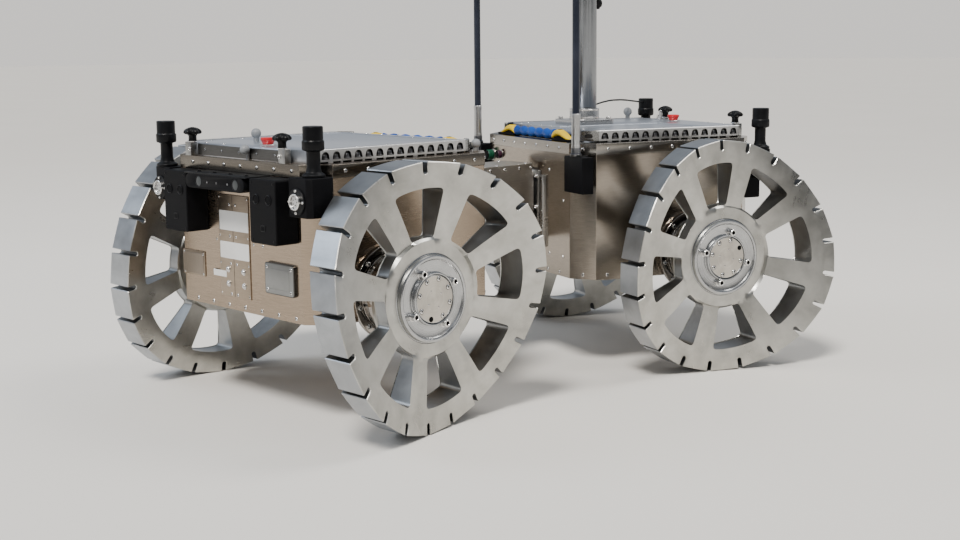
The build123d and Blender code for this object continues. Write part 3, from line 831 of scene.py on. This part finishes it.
def button_screw(d, plane, r=3.2, h=1.5, mat=0, mat_dark=1, steps=14):
    """Low domed screw head with a small dark socket."""
    d.lathe([(r, 0), (r, h * 0.25), (r * 0.9, h * 0.62), (r * 0.7, h * 0.88), (r * 0.42, h)], plane, mat, steps=steps)
    d.lathe([(r * 0.42, h), (r * 0.38, h * 0.35), (0, h * 0.3)], plane, mat_dark, steps=steps)


for wname, (wmod, wside, wcrest, window_at, slot_at) in WHEELS.items():
    wm = wheel_matrix(wmod, wside, wcrest)
    v, f, m = wheel_disc(window_at, slot_at)
    finish_mesh(f"wheel_{wname}_disc", v, f, m, wm, ["wheel", "tread", "slot", "window_wall_shade"], f"wheel_{wname}", 30.0,
                replaces=(f"wheel_{wname}",))
    hub = hub_draft()
    finish_mesh(f"hub_{wname}_ring", hub.v, hub.f, hub.m, wm, ["hub", "cover"], f"wheel_{wname}", 24.0,
                polar=hub.polar, replaces=(f"hub_{wname}",))
    sc = Draft()
    for k in range(4):
        p = polar_pt(49.5, 0.5 + 90 * k)
        cap_screw(sc, Matrix.Translation((p.x, p.y, -22.3)), 6.4, 10.4, 3.6)
    for k in range(8):
        p = polar_pt(33.6, 0.8 + 45 * k)
        sc.lathe([(4.7, 0.0), (4.6, 0.25), (3.9, 0.25)], Matrix.Translation((p.x, p.y, -15.95)), 1, steps=20)
        button_screw(sc, Matrix.Translation((p.x, p.y, -15.8)), 3.9, 1.3, mat=1 if k == 1 else 0, steps=18)
    for k in range(4):
        p = polar_pt(16.0, 0.8 + 90 * k)
        button_screw(sc, Matrix.Translation((p.x, p.y, -15.9)), 1.5, 0.4)
    finish_mesh(f"hub_{wname}_screws", sc.v, sc.f, sc.m, wm, ["screw", "dark"], f"wheel_{wname}", 30.0,
                polar=sc.polar)

# --------------------------------------------------------- carried-over CAD
NODE_LOOK = {
    # node start: material, record slot, bevel
    "body_front": ("steel_front", "body", 0.8),
    "body_rear": ("steel_rear", "body", 0.8),
    "lid_front": ("lid", "lid", 0.8),
    "lid_rear": ("lid", "lid", 0.8),
    "lid_brackets": ("bracket", "rail", 0.8),
    "corner_blocks": ("printed", "black", 1.5),
    "corner_posts": ("black_metal", "black", 0.6),
    "stereo_camera": ("printed", "black", 1.5),
    "camera_bracket": ("black_metal", "dark_metal", 0.5),
    "front_plates": ("steel_plates", "body", 0.4),
    "drive_units": ("polished", "drive", 1.2),
    "joint_box": ("steel_joint", "body", 0.8),
    "joint_yoke": ("alloy", "steel", 0.6),
    "joint_frame": ("alloy", "steel", 0.5),
    "pivot_barrel": ("polished", "steel", 0.5),
    "pivot_pin": ("alloy", "steel", 0.5),
    "antenna_blocks": ("printed", "black", 1.5),
    "antennas": ("radome", "black", 0.3),
    "mast_base": ("alloy", "mast", 0.8),
    "mast_tube": ("mast", "mast", 0.5),
    "mast_cap": ("black_metal", "mast", 0.8),
    "mast_socket": ("black_metal", "mast", 0.6),
    "mast_cable": ("cable", "cable", 0.0),
    "lid_latch": ("chrome", "rail", 0.4),
    "marker_balls": ("ball", "ball", 0.2),
}
REDRAWN = ("wheel_", "hub_", "stop_button", "carry_handle", "corner_connectors", "joint_plugs", "lid_rails", "lid_knobs", "sensor_housings")
for node_name in sorted(NODES):
    if node_name.startswith(REDRAWN):
        continue
    key = max((k for k in NODE_LOOK if node_name.startswith(k)), key=len)
    material, slot_name, width = NODE_LOOK[key]
    if node_name.endswith("_rear") and material == "steel_front":
        material = "steel_rear"
    # the front body's band takes the darker band steel: painted shade
    soften(node_name, material, width, band={"body_front": "band_front_shaded", "body_rear": "band_rear"}.get(node_name),
           swell=0.35 if node_name == "mast_cable" else 0.0)


# ------------------------------------------------------------------ details
CHAMFER_N = Vector((CH_Y, -CH_X, 0)).normalized()


def body_bolts(module):
    """Dome bolts round the folded top band and the foot of a box."""
    d = Draft()
    xs = [-135.3 + 48.7 * k for k in range(7)]
    ys = [61.0 + 48.0 * k for k in range(7)]
    for z, out in ((252.0, BAND_T), (8.4, 0.0)):
        for x in xs:
            button_screw(d, at(x, -out, z, "front"), 3.4, 1.9)
            if z > 200 or abs(x) > 70:
                button_screw(d, at(x, BODY_L + out, z, "back"), 3.4, 1.9)
        for side, facing in ((1, "left"), (-1, "right")):
            for y in ys:
                button_screw(d, at(side * (BODY_W + out), y, z, facing), 3.4, 1.9)
            for end, y0 in ((-1, CH_Y / 2), (1, BODY_L - CH_Y / 2)):
                n = Vector((side * CHAMFER_N.x, end * -CHAMFER_N.y, 0))
                p = Vector((side * (BODY_W - CH_X / 2), y0, z)) + n * (out + 0.05)
                button_screw(d, at_normal(p.x, p.y, p.z, n), 3.4, 1.9)
    emit(d, f"body_bolts_{module}", module, ["screw", "dark"], smooth_angle=40.0)


def clamp_rails(module):
    """Clamping rails with tapered bolt pockets, over a dark strip that paints the shadow in the gap under the rail."""
    pitch, y1, y2 = 22.9, 29.0, 354.0
    z1, z2, x0, floor = 265.8, 286.0, 190.0, 184.8
    low, high, wide, narrow = 269.2, 281.6, 8.0, 6.2
    rail, screws, strip, corner = Draft(), Draft(), Draft(), Draft()
    for side in (-1, 1):
        def q(y, z, x=x0):
            return (side * x, y, z)

        def quad(a, b, c, d):
            rail.add([a, b, c, d], [(0, 1, 2, 3)])

        for k in range(14):
            y = 191.5 + (k - 6.5) * pitch
            ya = y - pitch / 2 if k else y1
            yb = y + pitch / 2 if k < 13 else y2
            hole = [(y - wide, low), (y + wide, low), (y + wide, low + 3.2), (y + narrow, high - 2.8), (y + narrow - 3.0, high),
                    (y - narrow + 3.0, high), (y - narrow, high - 2.8), (y - wide, low + 3.2)]
            outer = [(ya, z1), (yb, z1), (yb, low + 3.2), (yb, high - 2.4), (yb, z2 - 0.8), (ya, z2 - 0.8), (ya, high - 2.4), (ya, low + 3.2)]
            n = len(hole)
            for i in range(n):
                j = (i + 1) % n
                quad(q(*outer[i]), q(*outer[j]), q(*hole[j]), q(*hole[i]))
                h0, h1 = hole[i], hole[j]
                # pocket walls and floors take the dark lid_edge material (index 1): painted shade inside the pockets
                rail.add([q(*h0), q(*h1), q(h1[0], h1[1], floor), q(h0[0], h0[1], floor)], [(0, 1, 2, 3)], 1)
            rail.add([q(h[0], h[1], floor) for h in hole], [tuple(range(n))], 1)
            foot = at(side * 187.0, y, low + 0.02)
            screws.lathe([(6.4, 0), (6.4, 1.5), (6.0, 1.9), (4.4, 2.0), (4.3, 6.6), (3.8, 7.6), (2.4, 8.2), (2.2, 7.0), (0, 6.9)],
                         foot, steps=16, mats=[0, 0, 0, 0, 0, 0, 1, 1])
        a, b = z2 - 0.8, z2
        quad(q(y1, a), q(y2, a), q(y2, b, x0 - 0.8), q(y1, b, x0 - 0.8))
        quad(q(y1, b, x0 - 0.8), q(y2, b, x0 - 0.8), q(y2, b, 176.0), q(y1, b, 176.0))
        quad(q(y1, z1), q(y2, z1), q(y2, z1, 176.0), q(y1, z1, 176.0))
        for y in (y1, y2):
            rail.add([q(y, z1), q(y, low + 3.2), q(y, high - 2.4), q(y, a), q(y, b, x0 - 0.8), q(y, b, 176.0), q(y, z1, 176.0)], [tuple(range(7))])
        quad(q(y1, z1, 176.0), q(y2, z1, 176.0), q(y2, b, 176.0), q(y1, b, 176.0))
        # dark strip under the rail: painted shadow in the gap between rail and box
        strip.prism(rounded(8, y2 - y1 - 2, 1.5, 3, side * 184.0, (y1 + y2) / 2), 3.0, at(0, 0, 263.0), 0)
        # the rail goes on round the lid's inner corner as a plain curved piece
        turn_pts = [(190.0, 354.2), (189.6, 359.0), (187.6, 364.0), (183.6, 369.4), (177.4, 375.4), (170.6, 380.4), (165.6, 382.6), (161.0, 383.2)]
        under = [(161.0, 376.0), (176.0, 366.0), (182.0, 354.2)]
        corner.prism([(side * x, y) for x, y in turn_pts + under], 19.8, at(0, 0, 266.0), 0, chamfer=0.8)
        n = Vector((side * 0.70, 0.714, 0.0))
        # dark flat patch and dark slit on the corner piece: painted shade standing for its bolt pocket and the gap
        # under it
        pocket_shade_at = at_normal(side * 181.2, 370.8, 275.4, n)
        corner.prism(rounded(15.0, 8.0, 3.4, 4), 1.0, pocket_shade_at, 1)
        corner.prism(rounded(18.0, 3.0, 1.4, 3), 1.0, at_normal(side * 181.2, 370.8, 268.0, n), 1)
        for k in range(13):
            y = 191.5 + (k - 6.0) * pitch
            wide_gap = 2.4 if k % 4 else 5.0
            rail.prism(rounded(3.4, 2 * wide_gap, 0.8, 2, side * 187.2, y), 2.9, at(0, 0, 263.05), 0, chamfer=0.3)
    emit(rail, f"lid_rails_{module}_milled", module, ["alloy", "lid_edge"], replaces=(f"lid_rails_{module}",), smooth_angle=25.0)
    emit(screws, f"rail_screws_{module}", module, ["rail_screw", "dark"], smooth_angle=40.0)
    emit(strip, f"lid_gap_shade_{module}", module, ["dark"])
    emit(corner, f"rail_corners_{module}", module, ["bracket", "lid_edge"], smooth_angle=30.0)


def lid_screws(module):
    d = Draft()
    for x in (-118, -60, 60, 118):
        button_screw(d, at(x, 14 + (abs(x) > 100) * 3, LID_TOP), 3.4, 1.2)
    for x in (-135, -90, -45, 0, 45, 90, 135):
        button_screw(d, at(x, 357, LID_TOP), 3.4, 1.2)
    for x in (-160, 160):
        for y in (60, 126, 192, 258, 324):
            button_screw(d, at(x + (6 if x > 0 else -6), y, LID_TOP), 2.6, 0.9)
    for x in (-133, 133):
        cap_screw(d, at(x, -8.1, 275, "front"), 2.6, 2.4, 1.3)
    emit(d, f"lid_screws_{module}", module, ["screw", "dark"], smooth_angle=40.0)


def star_knobs(module):
    """Domed five-lobed star knobs on short stems with a bright washer."""
    d = Draft()
    for x in (-133, 133):
        p = at(x, -1.5, 287.0)
        d.lathe([(8.0, 0.0), (9.6, 0.05), (9.6, 1.5), (9.0, 1.9), (8.0, 1.9)], p, 1, steps=28)
        d.lathe([(7.6, 1.9), (7.2, 4.0), (7.0, 10.0), (8.6, 13.0)], p, 0, steps=28)
        rings = ((0.0, 26.0), (0.25, 25.8), (0.5, 25.0), (0.72, 23.6), (0.88, 21.6), (0.97, 19.4), (1.0, 17.2), (0.98, 15.0), (0.9, 13.6), (0.7, 13.0), (0.45, 12.8))
        steps = 60
        rows, verts = [], []
        for f, h in rings:
            if f == 0.0:
                rows.append([0])
                verts.append(p @ Vector((0, 0, h)))
                continue
            row = []
            for k in range(steps):
                a = 2 * math.pi * k / steps
                lobe = 0.5 + 0.5 * math.cos(5 * a)
                r = f * (11.6 + 5.2 * f * f * lobe ** 0.8)
                sag = 1.6 * f * f * (1 - lobe)
                row.append(len(verts))
                verts.append(p @ Vector((r * math.cos(a), r * math.sin(a), h - sag * (1 if h > 16 else 0))))
            rows.append(row)
        faces = []
        for a, b in zip(rows, rows[1:]):
            for k in range(steps):
                j = (k + 1) % steps
                if len(a) == 1:
                    faces.append((a[0], b[k], b[j]))
                else:
                    faces.append((a[k], b[k], b[j], a[j]))
        faces.append(tuple(rows[-1]))
        d.add(verts, faces, 0)
    emit(d, f"lid_knobs_{module}_star", module, ["knob", "screw"], replaces=(f"lid_knobs_{module}",), smooth_angle=50.0)


def lid_edge(module):
    """Dark strip along the outer edge of the lid, between the brackets."""
    d = Draft()
    d.prism(rounded(252, 18.5, 1.5, 3), 0.9, at(0, 5.0, 274.0, "front"), chamfer=0.4)
    emit(d, f"lid_edge_{module}", module, ["lid_edge"])
    d = Draft()
    for x in (-104, -52, 0, 52, 104):
        button_screw(d, at(x, 4.1, 274, "front"), 2.2, 0.9)
    emit(d, f"lid_edge_screws_{module}", module, ["gunmetal", "dark"], smooth_angle=40.0)


def housings(module):
    """Sensor housings with rounded corners and broken edges."""
    d = Draft()
    for x1, x2 in ((96, 169), (-165, -93)):
        d.prism(rounded(x2 - x1, 106, 4.0, 5), 42.5, at((x1 + x2) / 2, -BAND_T, 187, "front"), 0, chamfer=1.4)
    emit(d, f"sensor_housings_{module}_printed", module, ["printed"], replaces=(f"sensor_housings_{module}",), smooth_angle=35.0)


def stop_button(module):
    d = Draft()
    d.lathe([(0, 0), (15.0, 0), (15.0, 1.3), (14.3, 2.0), (10.6, 2.2), (10.2, 2.6), (9.0, 2.8), (9.2, 3.4), (10.2, 6.2),
             (11.8, 9.0), (12.4, 10.2), (12.5, 12.2), (12.1, 13.3), (11.0, 13.9), (5, 14.0), (0, 14.0)],
            at(28, 45, LID_TOP), steps=48, mats=[0, 0, 0, 0, 0, 0, 1, 1, 1, 1, 1, 1, 1, 1, 1])
    emit(d, f"stop_button_{module}_turned", module, ["alloy", "red"], replaces=(f"stop_button_{module}",), smooth_angle=40.0)


def corner_sockets(module):
    """Round panel sockets on the corner blocks."""
    d = Draft()
    for side, y, cx, cz in ((1, -33.0, 213.0, 208.5), (-1, -18.0, 218.0, 202.0)):
        p = at(side * cx, y, cz, "front")
        d.lathe([(21, 0), (21, 2.2), (20.2, 3.0), (13.6, 3.0)], p, 0, steps=40)
        d.lathe([(13.6, 3.0), (13.4, 7.2), (12.6, 8.0), (11.2, 8.0), (10.6, 7.4), (10.4, 3.4)], p, 1, steps=40)
        d.lathe([(10.4, 3.4), (9.6, 3.2), (9.2, 4.6), (8.8, 5.0), (0, 5.0)], p, 3, steps=32)
        for k in range(5):
            q = p @ Matrix.Translation((5.2 * math.cos(k * 1.2566), 5.2 * math.sin(k * 1.2566), 5.0))
            d.lathe([(1.15, 0), (1.1, 0.15), (0, 0.15)], q, 2, steps=10)
        for k in range(4):
            q = p @ Matrix.Translation((17.6 * math.cos(k * math.pi / 2), 17.6 * math.sin(k * math.pi / 2), 3.0))
            d.lathe([(2.6, 0), (2.6, 0.9), (2.0, 1.7), (1.1, 1.9), (0.9, 1.0), (0, 0.9)], q, 1, steps=12)
    emit(d, f"corner_connectors_{module}_turned", module, ["black_metal", "screw", "dark", "alloy"],
         replaces=(f"corner_connectors_{module}",), smooth_angle=40.0)


def section_loft(d, stations, mat, steps=28, power=2.6):
    """Superellipse sections across x: (x, y, z, half width, half height)."""
    rings, verts = [], []
    for x, y, z, hw, hh in stations:
        ring = []
        for k in range(steps):
            a = 2 * math.pi * k / steps
            c, s = math.cos(a), math.sin(a)
            ring.append(len(verts))
            verts.append((x, y + hw * math.copysign(abs(c) ** (2 / power), c), z + hh * math.copysign(abs(s) ** (2 / power), s)))
        rings.append(ring)
    faces = [tuple(rings[0]), tuple(rings[-1])[::-1]]
    for a, b in zip(rings, rings[1:]):
        for k in range(steps):
            j = (k + 1) % steps
            faces.append((a[j], a[k], b[k], b[j]))
    d.add(verts, faces, mat)


def carry_handle(module):
    """Finger-grooved blue grip between two arched yellow ends on a dark base."""
    d = Draft()
    y, z = 393.0, 275.2
    rings, verts, steps = [], [], 28
    n = 92
    for k in range(n + 1):
        x = -84.0 + 168.0 * k / n
        end = min(1.0, (84.0 - abs(x)) / 3.0)
        ring = []
        for i in range(steps):
            a = 2 * math.pi * i / steps
            # the grooves lie aslant, so each finger lobe leans along the grip
            lean = x + 7.0 * math.cos(a)
            lobe = 0.5 + 0.5 * math.cos(2 * math.pi * lean / 33.6 + math.pi)
            r = (6.7 + 3.0 * lobe ** 0.7) * (0.82 + 0.18 * end)
            ring.append(len(verts))
            verts.append((x, y + r * 0.98 * math.cos(a), z + r * 1.06 * math.sin(a)))
        rings.append(ring)
    faces = [tuple(rings[0]), tuple(rings[-1])[::-1]]
    for a, b in zip(rings, rings[1:]):
        for k in range(steps):
            j = (k + 1) % steps
            faces.append((a[j], a[k], b[k], b[j]))
    d.add(verts, faces, 0)
    for side in (-1, 1):
        # arched end: rises from its foot, swells over the bolt and dips to the grip
        ends = [(79, 5.0, 3.6, 270.6), (82, 7.0, 5.0, 271.6), (87, 8.2, 6.2, 274.2), (94, 8.8, 6.6, 277.4), (102, 9.0, 6.2, 279.4),
                (111, 9.0, 5.8, 279.2), (121, 8.6, 5.2, 276.8), (130, 8.0, 4.6, 273.4), (138, 7.2, 4.0, 270.6), (145, 6.2, 3.2, 268.6), (149, 5.0, 2.4, 267.6)]
        st = [(side * x, y, zz, hw, hh) for x, hw, hh, zz in ends]
        if side < 0:
            st.reverse()
        section_loft(d, st, 1, 28, 2.6)
        feet = [(side * x, y, 265.6, hw, hh) for x, hw, hh in ((84, 7.6, 2.0), (86, 8.8, 2.5), (156, 8.8, 2.5), (158.4, 7.4, 1.9))]
        if side < 0:
            feet.reverse()
        section_loft(d, feet, 2, 24, 5.0)
        cap_screw(d, at(side * 152.8, y, 268.0), 2.9, 2.2, 1.5, mat=3, mat_dark=2)
        cap_screw(d, at(side * 105, y - 0.5, 284.9), 3.1, 0.9, 1.6, mat=2, mat_dark=2)
        d.prism(rounded(44, 9.0, 2.0, 3, side * 108.0, y), 6.5, at(0, 0, 266.0), 2, chamfer=0.8)
    # dark shelf behind the grip
    d.prism(rounded(300, 3.0, 1.2, 3, 0, 371.5), 12.0, at(0, 0, 263.0), 2, chamfer=0.6)
    emit(d, f"carry_handle_{module}_moulded", module, ["blue", "yellow", "dark", "screw"],
         replaces=(f"carry_handle_{module}",), smooth_angle=50.0)


def drive_details(module):
    """Bolt ring on each drive flange and a seal ring on its drum."""
    d = Draft()
    for side, facing in ((-1, "right"), (1, "left")):
        p = at(side * BODY_W, WHEEL_Y, WHEEL_Z, facing)
        for k in range(12):
            q = p @ Matrix.Translation((74.0 * math.cos(math.radians(15 + 30 * k)), 74.0 * math.sin(math.radians(15 + 30 * k)), 8.0))
            cap_screw(d, q, 3.6, 3.6, 1.9)
        d.lathe([(66.0, 44.0), (67.0, 44.4), (67.0, 50.6), (66.0, 51.0)], p, 1, steps=64)
        d.lathe([(66.0, 16.0), (66.7, 16.2), (66.7, 19.8), (66.0, 20.0)], p, 0, steps=64)
    emit(d, f"drive_details_{module}", module, ["screw", "dark"], smooth_angle=40.0)


def housing_details(module):
    """Rims of the sensor windows, a dark lens in each and corner screws."""
    d = Draft()
    for cx in (132.5, -129.0):
        for dx in (-17, 17):
            p = at(cx + dx, -44.0, 207.0, "front")
            d.lathe([(8.6, 0), (8.5, 0.9), (7.8, 1.3), (7.1, 0.8), (6.9, 0.25)], p, 0, steps=32)
            d.lathe([(6.9, 0.25), (5.0, 0.5), (2.6, 0.7), (0, 0.75)], p, 1, steps=32)
        d.prism(rounded(12.5, 10.5, 1.6, 3), 0.7, at(cx, -44.0, 160.0, "front"), 0, chamfer=0.3)
        d.prism(rounded(9.0, 7.0, 1.2, 3), 0.2, at(cx, -44.7, 160.0, "front"), 3)
        for sx in (-1, 1):
            for sz in (-1, 1):
                button_screw(d, at(cx + sx * 30, -44.0, 187 + sz * 46.5, "front"), 2.1, 0.7, mat=2, mat_dark=3)
    emit(d, f"housing_details_{module}", module, ["black_metal", "dark", "knob", "dark"], smooth_angle=40.0)


for module_name in ("front", "rear"):
    body_bolts(module_name)
    clamp_rails(module_name)
    lid_edge(module_name)
    housings(module_name)
    lid_screws(module_name)
    star_knobs(module_name)
    stop_button(module_name)
    corner_sockets(module_name)
    carry_handle(module_name)
    drive_details(module_name)
    housing_details(module_name)


def front_face():
    """Plates, blank labels and bolts on the front box's outer face."""
    d = Draft()
    for z in (28, 81, 129, 184):
        for x in (-26, -8):
            button_screw(d, at(x, -2, z, "front"), 2.6, 1.3)
    for x, z in ((-34, 71), (12, 70), (-34, 46), (13, 46)):
        d.lathe([(5.6, 0), (5.6, 0.8), (4.6, 0.9), (4.4, 2.4), (3.4, 3.8), (1.6, 4.4), (0, 4.5)], at(x, -2, z, "front"), steps=20)
    for x in (-174, -114):
        for z in (53, 88):
            button_screw(d, at(x, -2, z, "front"), 2.2, 1.0)
    for x in (87, 153):
        for z in (51, 89):
            button_screw(d, at(x, -6.5, z, "front"), 3.0, 1.6)
    for x in (-57, 27):
        for z in (28, 81, 129, 196):
            button_screw(d, at(x, -2, z, "front"), 1.8, 0.8)
    for x in (-70, 41, 68):
        button_screw(d, at(x, 0, 120, "front"), 2.4, 1.2)
    emit(d, "front_face_screws", "front", ["screw", "dark"], smooth_angle=40.0)

    d = Draft()
    d.prism(rounded(62, 37, 1.5, 3), 0.8, at(-144, -2, 70.5, "front"), chamfer=0.5)
    emit(d, "front_name_plate", "front", ["plate"])

    d = Draft()
    d.prism(rounded(78, 50, 4, 5), 0.6, at(120, -6, 70, "front"), chamfer=0.3)
    d.prism(rounded(56, 34, 2, 3), 0.5, at(120, -6.6, 70, "front"), chamfer=0.3)
    # the cover's block is in the dark lid_edge material so its sides read dark: painted shade
    d.prism(rounded(81.2, 53.2, 5, 5), 6.15, at(120, -0.02, 70, "front"), 1, chamfer=0.5)
    emit(d, "front_cover_face", "front", ["grey", "lid_edge"])

    d = Draft()
    d.prism(rounded(86, 34, 1.5, 3), 0.25, at(-14, -2, 156, "front"))
    d.prism(rounded(86, 29, 1.5, 3), 0.25, at(-14, -2, 104.5, "front"))
    d.prism(rounded(40, 11, 1.0, 3), 0.25, at(-61 + 0.0, -2.0, 61.5, "front"))
    emit(d, "front_labels", "front", ["paper"])

    d = Draft()
    d.prism(rounded(0.9, 176, 0.3, 2), 0.15, at(-17, -2, 112, "front"))
    emit(d, "front_plate_seam", "front", ["dark"])

    # depth camera: lens barrels, centre emitter, clamp screws
    d = Draft()
    for x in (-47, 62):
        p = at(x, -46.0, 226.25, "front")
        d.lathe([(9.5, 0), (9.5, 2.0), (9.1, 2.2), (8.6, 2.2), (8.2, 1.4)], p, 0, steps=32)
        d.lathe([(8.2, 1.4), (6.0, 1.9), (3.0, 2.1), (0, 2.2)], p, 4, steps=32)
    for x, r, m in ((-20, 2.6, 1), (8, 2.6, 1), (40, 1.9, 2)):
        d.lathe([(r, 0), (r, 0.4), (r * 0.8, 0.5), (r * 0.7, 0.1), (0, 0.1)], at(x, -48.0, 226.25, "front"), m, steps=20)
    emit(d, "stereo_camera_lenses", "front", ["black_metal", "glass", "gunmetal", "screw", "lens"], smooth_angle=40.0)
    d = Draft()
    for x in (-70, -23, 25, 72):
        cap_screw(d, at(x, -31, 240.8), 2.8, 2.2, 1.5)
    emit(d, "camera_bracket_screws", "front", ["knob", "dark"], smooth_angle=40.0)


def joint_details():
    d = Draft()
    for side, facing in ((1, "left"), (-1, "right")):
        for y in (434, 474, 514, 554, 594, 634, 666):
            button_screw(d, at(side * 46, y, 208, facing), 3.0, 1.6)
            if y < 600:
                button_screw(d, at(side * 46, y, 68, facing), 3.0, 1.6)
        for z in (66, 120, 174, 218):
            button_screw(d, at(side * 56, BODY_L + 6, z, "back"), 3.4, 1.8)
    for x in (-38, 38):
        for y in (424, 500, 580, 660):
            button_screw(d, at(x, y, 216), 3.0, 1.5)
    emit(d, "joint_box_screws", "front", ["screw", "dark"], smooth_angle=40.0)

    d = Draft()
    for side in (1, -1):
        for z in (60, 92, 122, 152, 184):
            button_screw(d, at(side * 76.0, BODY_L + 8, z, "back"), 1.8, 1.0)
        for z in (40, 206):
            button_screw(d, at(side * 92, BODY_L, z, "back"), 3.2, 1.8)
            button_screw(d, at(side * 150, BODY_L, z if z < 100 else 150, "back"), 3.2, 1.8)
        for z in (76, 128, 190):
            cap_screw(d, at(side * 47, BODY_L + 5, z, "back"), 3.6, 4.0, 1.9)
    emit(d, "joint_frame_screws", "rear", ["screw", "dark"], smooth_angle=40.0)

    # two round plugs on the rear box's inner face
    d = Draft()
    for x, z, r, h, shell in ((165, 219, 11, 17, 0), (126, 222, 8.5, 11, 1)):
        p = at(x, BODY_L, z, "back")
        prof = [(r * 1.12, 0), (r * 1.12, h * 0.10), (r * 0.92, h * 0.13)]
        for k in range(5):
            z0 = h * (0.16 + 0.13 * k)
            prof += [(r * 0.92, z0), (r, z0 + h * 0.03), (r, z0 + h * 0.08), (r * 0.92, z0 + h * 0.11)]
        prof += [(r * 0.90, h * 0.84), (r * 0.78, h * 0.93), (r * 0.60, h * 0.94), (r * 0.52, h), (0, h)]
        mats = [3, 3] + [shell] * (len(prof) - 7) + [2] * 4
        d.lathe(prof, p, steps=32, mats=mats)
    emit(d, "joint_plugs_moulded", "rear", ["green", "plum", "dark", "alloy"], replaces=("joint_plugs",), smooth_angle=36.0)


def mast_details():
    d = Draft()
    for sx in (-37, 37):
        for sy in (-37, 37):
            cap_screw(d, at(51 + sx, 251 + sy, 295), 5.4, 5.0, 2.8)
    p = at(51, 251, 295)
    d.lathe([(31.0, 1.0), (31.5, 1.4), (31.5, 5.0), (31.0, 5.4)], p, 0, steps=64)
    d.lathe([(31.0, 17.6), (31.4, 17.9), (31.4, 20.6), (31.0, 21.0)], p, 0, steps=64)
    emit(d, "mast_base_fittings", "rear", ["screw", "dark"], smooth_angle=36.0)

    # sleeves and collars of the two antennas
    d = Draft()
    for side in (-1, 1):
        p = at(side * 218.0, 420.0, 0.0)
        d.lathe([(11.0, 241.2), (11.2, 241.6), (11.2, 245.4), (10.4, 246.2)], p, 1, steps=28)
        prof = [(8.0, 256.6), (8.7, 257.0), (8.7, 262.0), (8.25, 262.4), (8.25, 312.0), (8.8, 312.4), (8.8, 320.6), (8.2, 321.4), (7.1, 321.6)]
        d.lathe(prof, p, 0, steps=32)
        for k in range(4):
            z = 247.2 + 2.2 * k
            d.lathe([(9.0, z), (9.35, z + 0.3), (9.35, z + 1.4), (9.0, z + 1.7)], p, 1, steps=28)
    emit(d, "antenna_sleeves", "rear", ["alloy", "gunmetal"], smooth_angle=36.0)


front_face()
joint_details()
mast_details()


# -------------------------------------------------------------------- stage
def make_stage():
    mesh = bpy.data.meshes.new("floor")
    s = 45.0
    mesh.from_pydata([(-s, -s, 0), (s, -s, 0), (s, s, 0), (-s, s, 0)], [], [(0, 1, 2, 3)])
    floor = bpy.data.objects.new("floor", mesh)
    mat, nt, bsdf = new_material("floor")
    tone = noise(nt, coords(nt), 1.2, 4.0, 0.5)
    nt.links.new(mix_color(nt, tone, (0.70, 0.675, 0.635), (0.74, 0.715, 0.675)), bsdf.inputs["Base Color"])
    bsdf.inputs["Roughness"].default_value = 0.9
    bsdf.inputs["Specular IOR Level"].default_value = 0.2
    mesh.materials.append(mat)
    SCENE.collection.objects.link(floor)

    world = bpy.data.worlds.new("world")
    SCENE.world = world
    world.use_nodes = True
    nt = world.node_tree
    nt.nodes.clear()
    out = nt.nodes.new("ShaderNodeOutputWorld")
    bg = nt.nodes.new("ShaderNodeBackground")
    tc = nt.nodes.new("ShaderNodeTexCoord")
    sep = nt.nodes.new("ShaderNodeSeparateXYZ")
    ramp = nt.nodes.new("ShaderNodeValToRGB")
    nt.links.new(tc.outputs["Generated"], sep.inputs[0])
    nt.links.new(sep.outputs[2], ramp.inputs[0])
    stops = ((0.0, (1.0, 0.968, 0.925)), (0.05, (1.0, 0.972, 0.935)), (0.17, (0.52, 0.545, 0.59)),
             (0.50, (0.36, 0.40, 0.455)), (1.0, (0.46, 0.48, 0.51)))
    while len(ramp.color_ramp.elements) < len(stops):
        ramp.color_ramp.elements.new(0.5)
    for element, (pos, colour) in zip(ramp.color_ramp.elements, stops):
        element.position = pos
    for element, (pos, colour) in zip(ramp.color_ramp.elements, stops):
        element.color = (*colour, 1)
    # a light room end behind the rover, a darker one on the other side
    aim = node(nt, "ShaderNodeVectorMath", operation="DOT_PRODUCT")
    aim.inputs[1].default_value = (-0.72, 0.69, 0.0)
    nt.links.new(tc.outputs["Generated"], aim.inputs[0])
    end = remap(nt, aim.outputs["Value"], -0.75, 0.55, 0.14, 1.0)
    lift = remap(nt, sep.outputs[2], 0.15, 0.75, 0.0, 1.0)
    shade = node(nt, "ShaderNodeMix", data_type="FLOAT")
    nt.links.new(lift, shade.inputs[0])
    nt.links.new(end, shade.inputs[2])
    shade.inputs[3].default_value = 1.0
    nt.links.new(ramp.outputs[0], bg.inputs[0])
    nt.links.new(math_node(nt, "MULTIPLY", shade.outputs[0], 0.92), bg.inputs[1])
    nt.links.new(bg.outputs[0], out.inputs[0])

    lights = (
        # name, position, target, size, power, colour
        ("fill", (-2.6, -3.0, 2.9), (0, -0.2, 0.3), 2.2, 75, (0.80, 0.89, 1.0)),
        ("top", (1.2, 1.4, 3.6), (0, 0, 0.3), 1.6, 60, (1.0, 0.98, 0.94)),
    )
    for name, pos, target, size, power, colour in lights:
        data = bpy.data.lights.new(name, "AREA")
        data.shape = "SQUARE"
        data.size = size
        data.energy = power
        data.color = colour
        lamp = bpy.data.objects.new(name, data)
        lamp.location = pos
        lamp.rotation_mode = "QUATERNION"
        lamp.rotation_quaternion = (Vector(target) - Vector(pos)).to_track_quat("-Z", "Y")
        SCENE.collection.objects.link(lamp)
    data = bpy.data.lights.new("key", "SUN")
    data.energy = 4.0
    data.angle = math.radians(13.0)
    data.color = (1.0, 0.965, 0.91)
    lamp = bpy.data.objects.new("key", data)
    lamp.rotation_mode = "QUATERNION"
    lamp.rotation_quaternion = Vector((-0.36, 0.66, -1.0)).to_track_quat("-Z", "Y")
    SCENE.collection.objects.link(lamp)


make_stage()
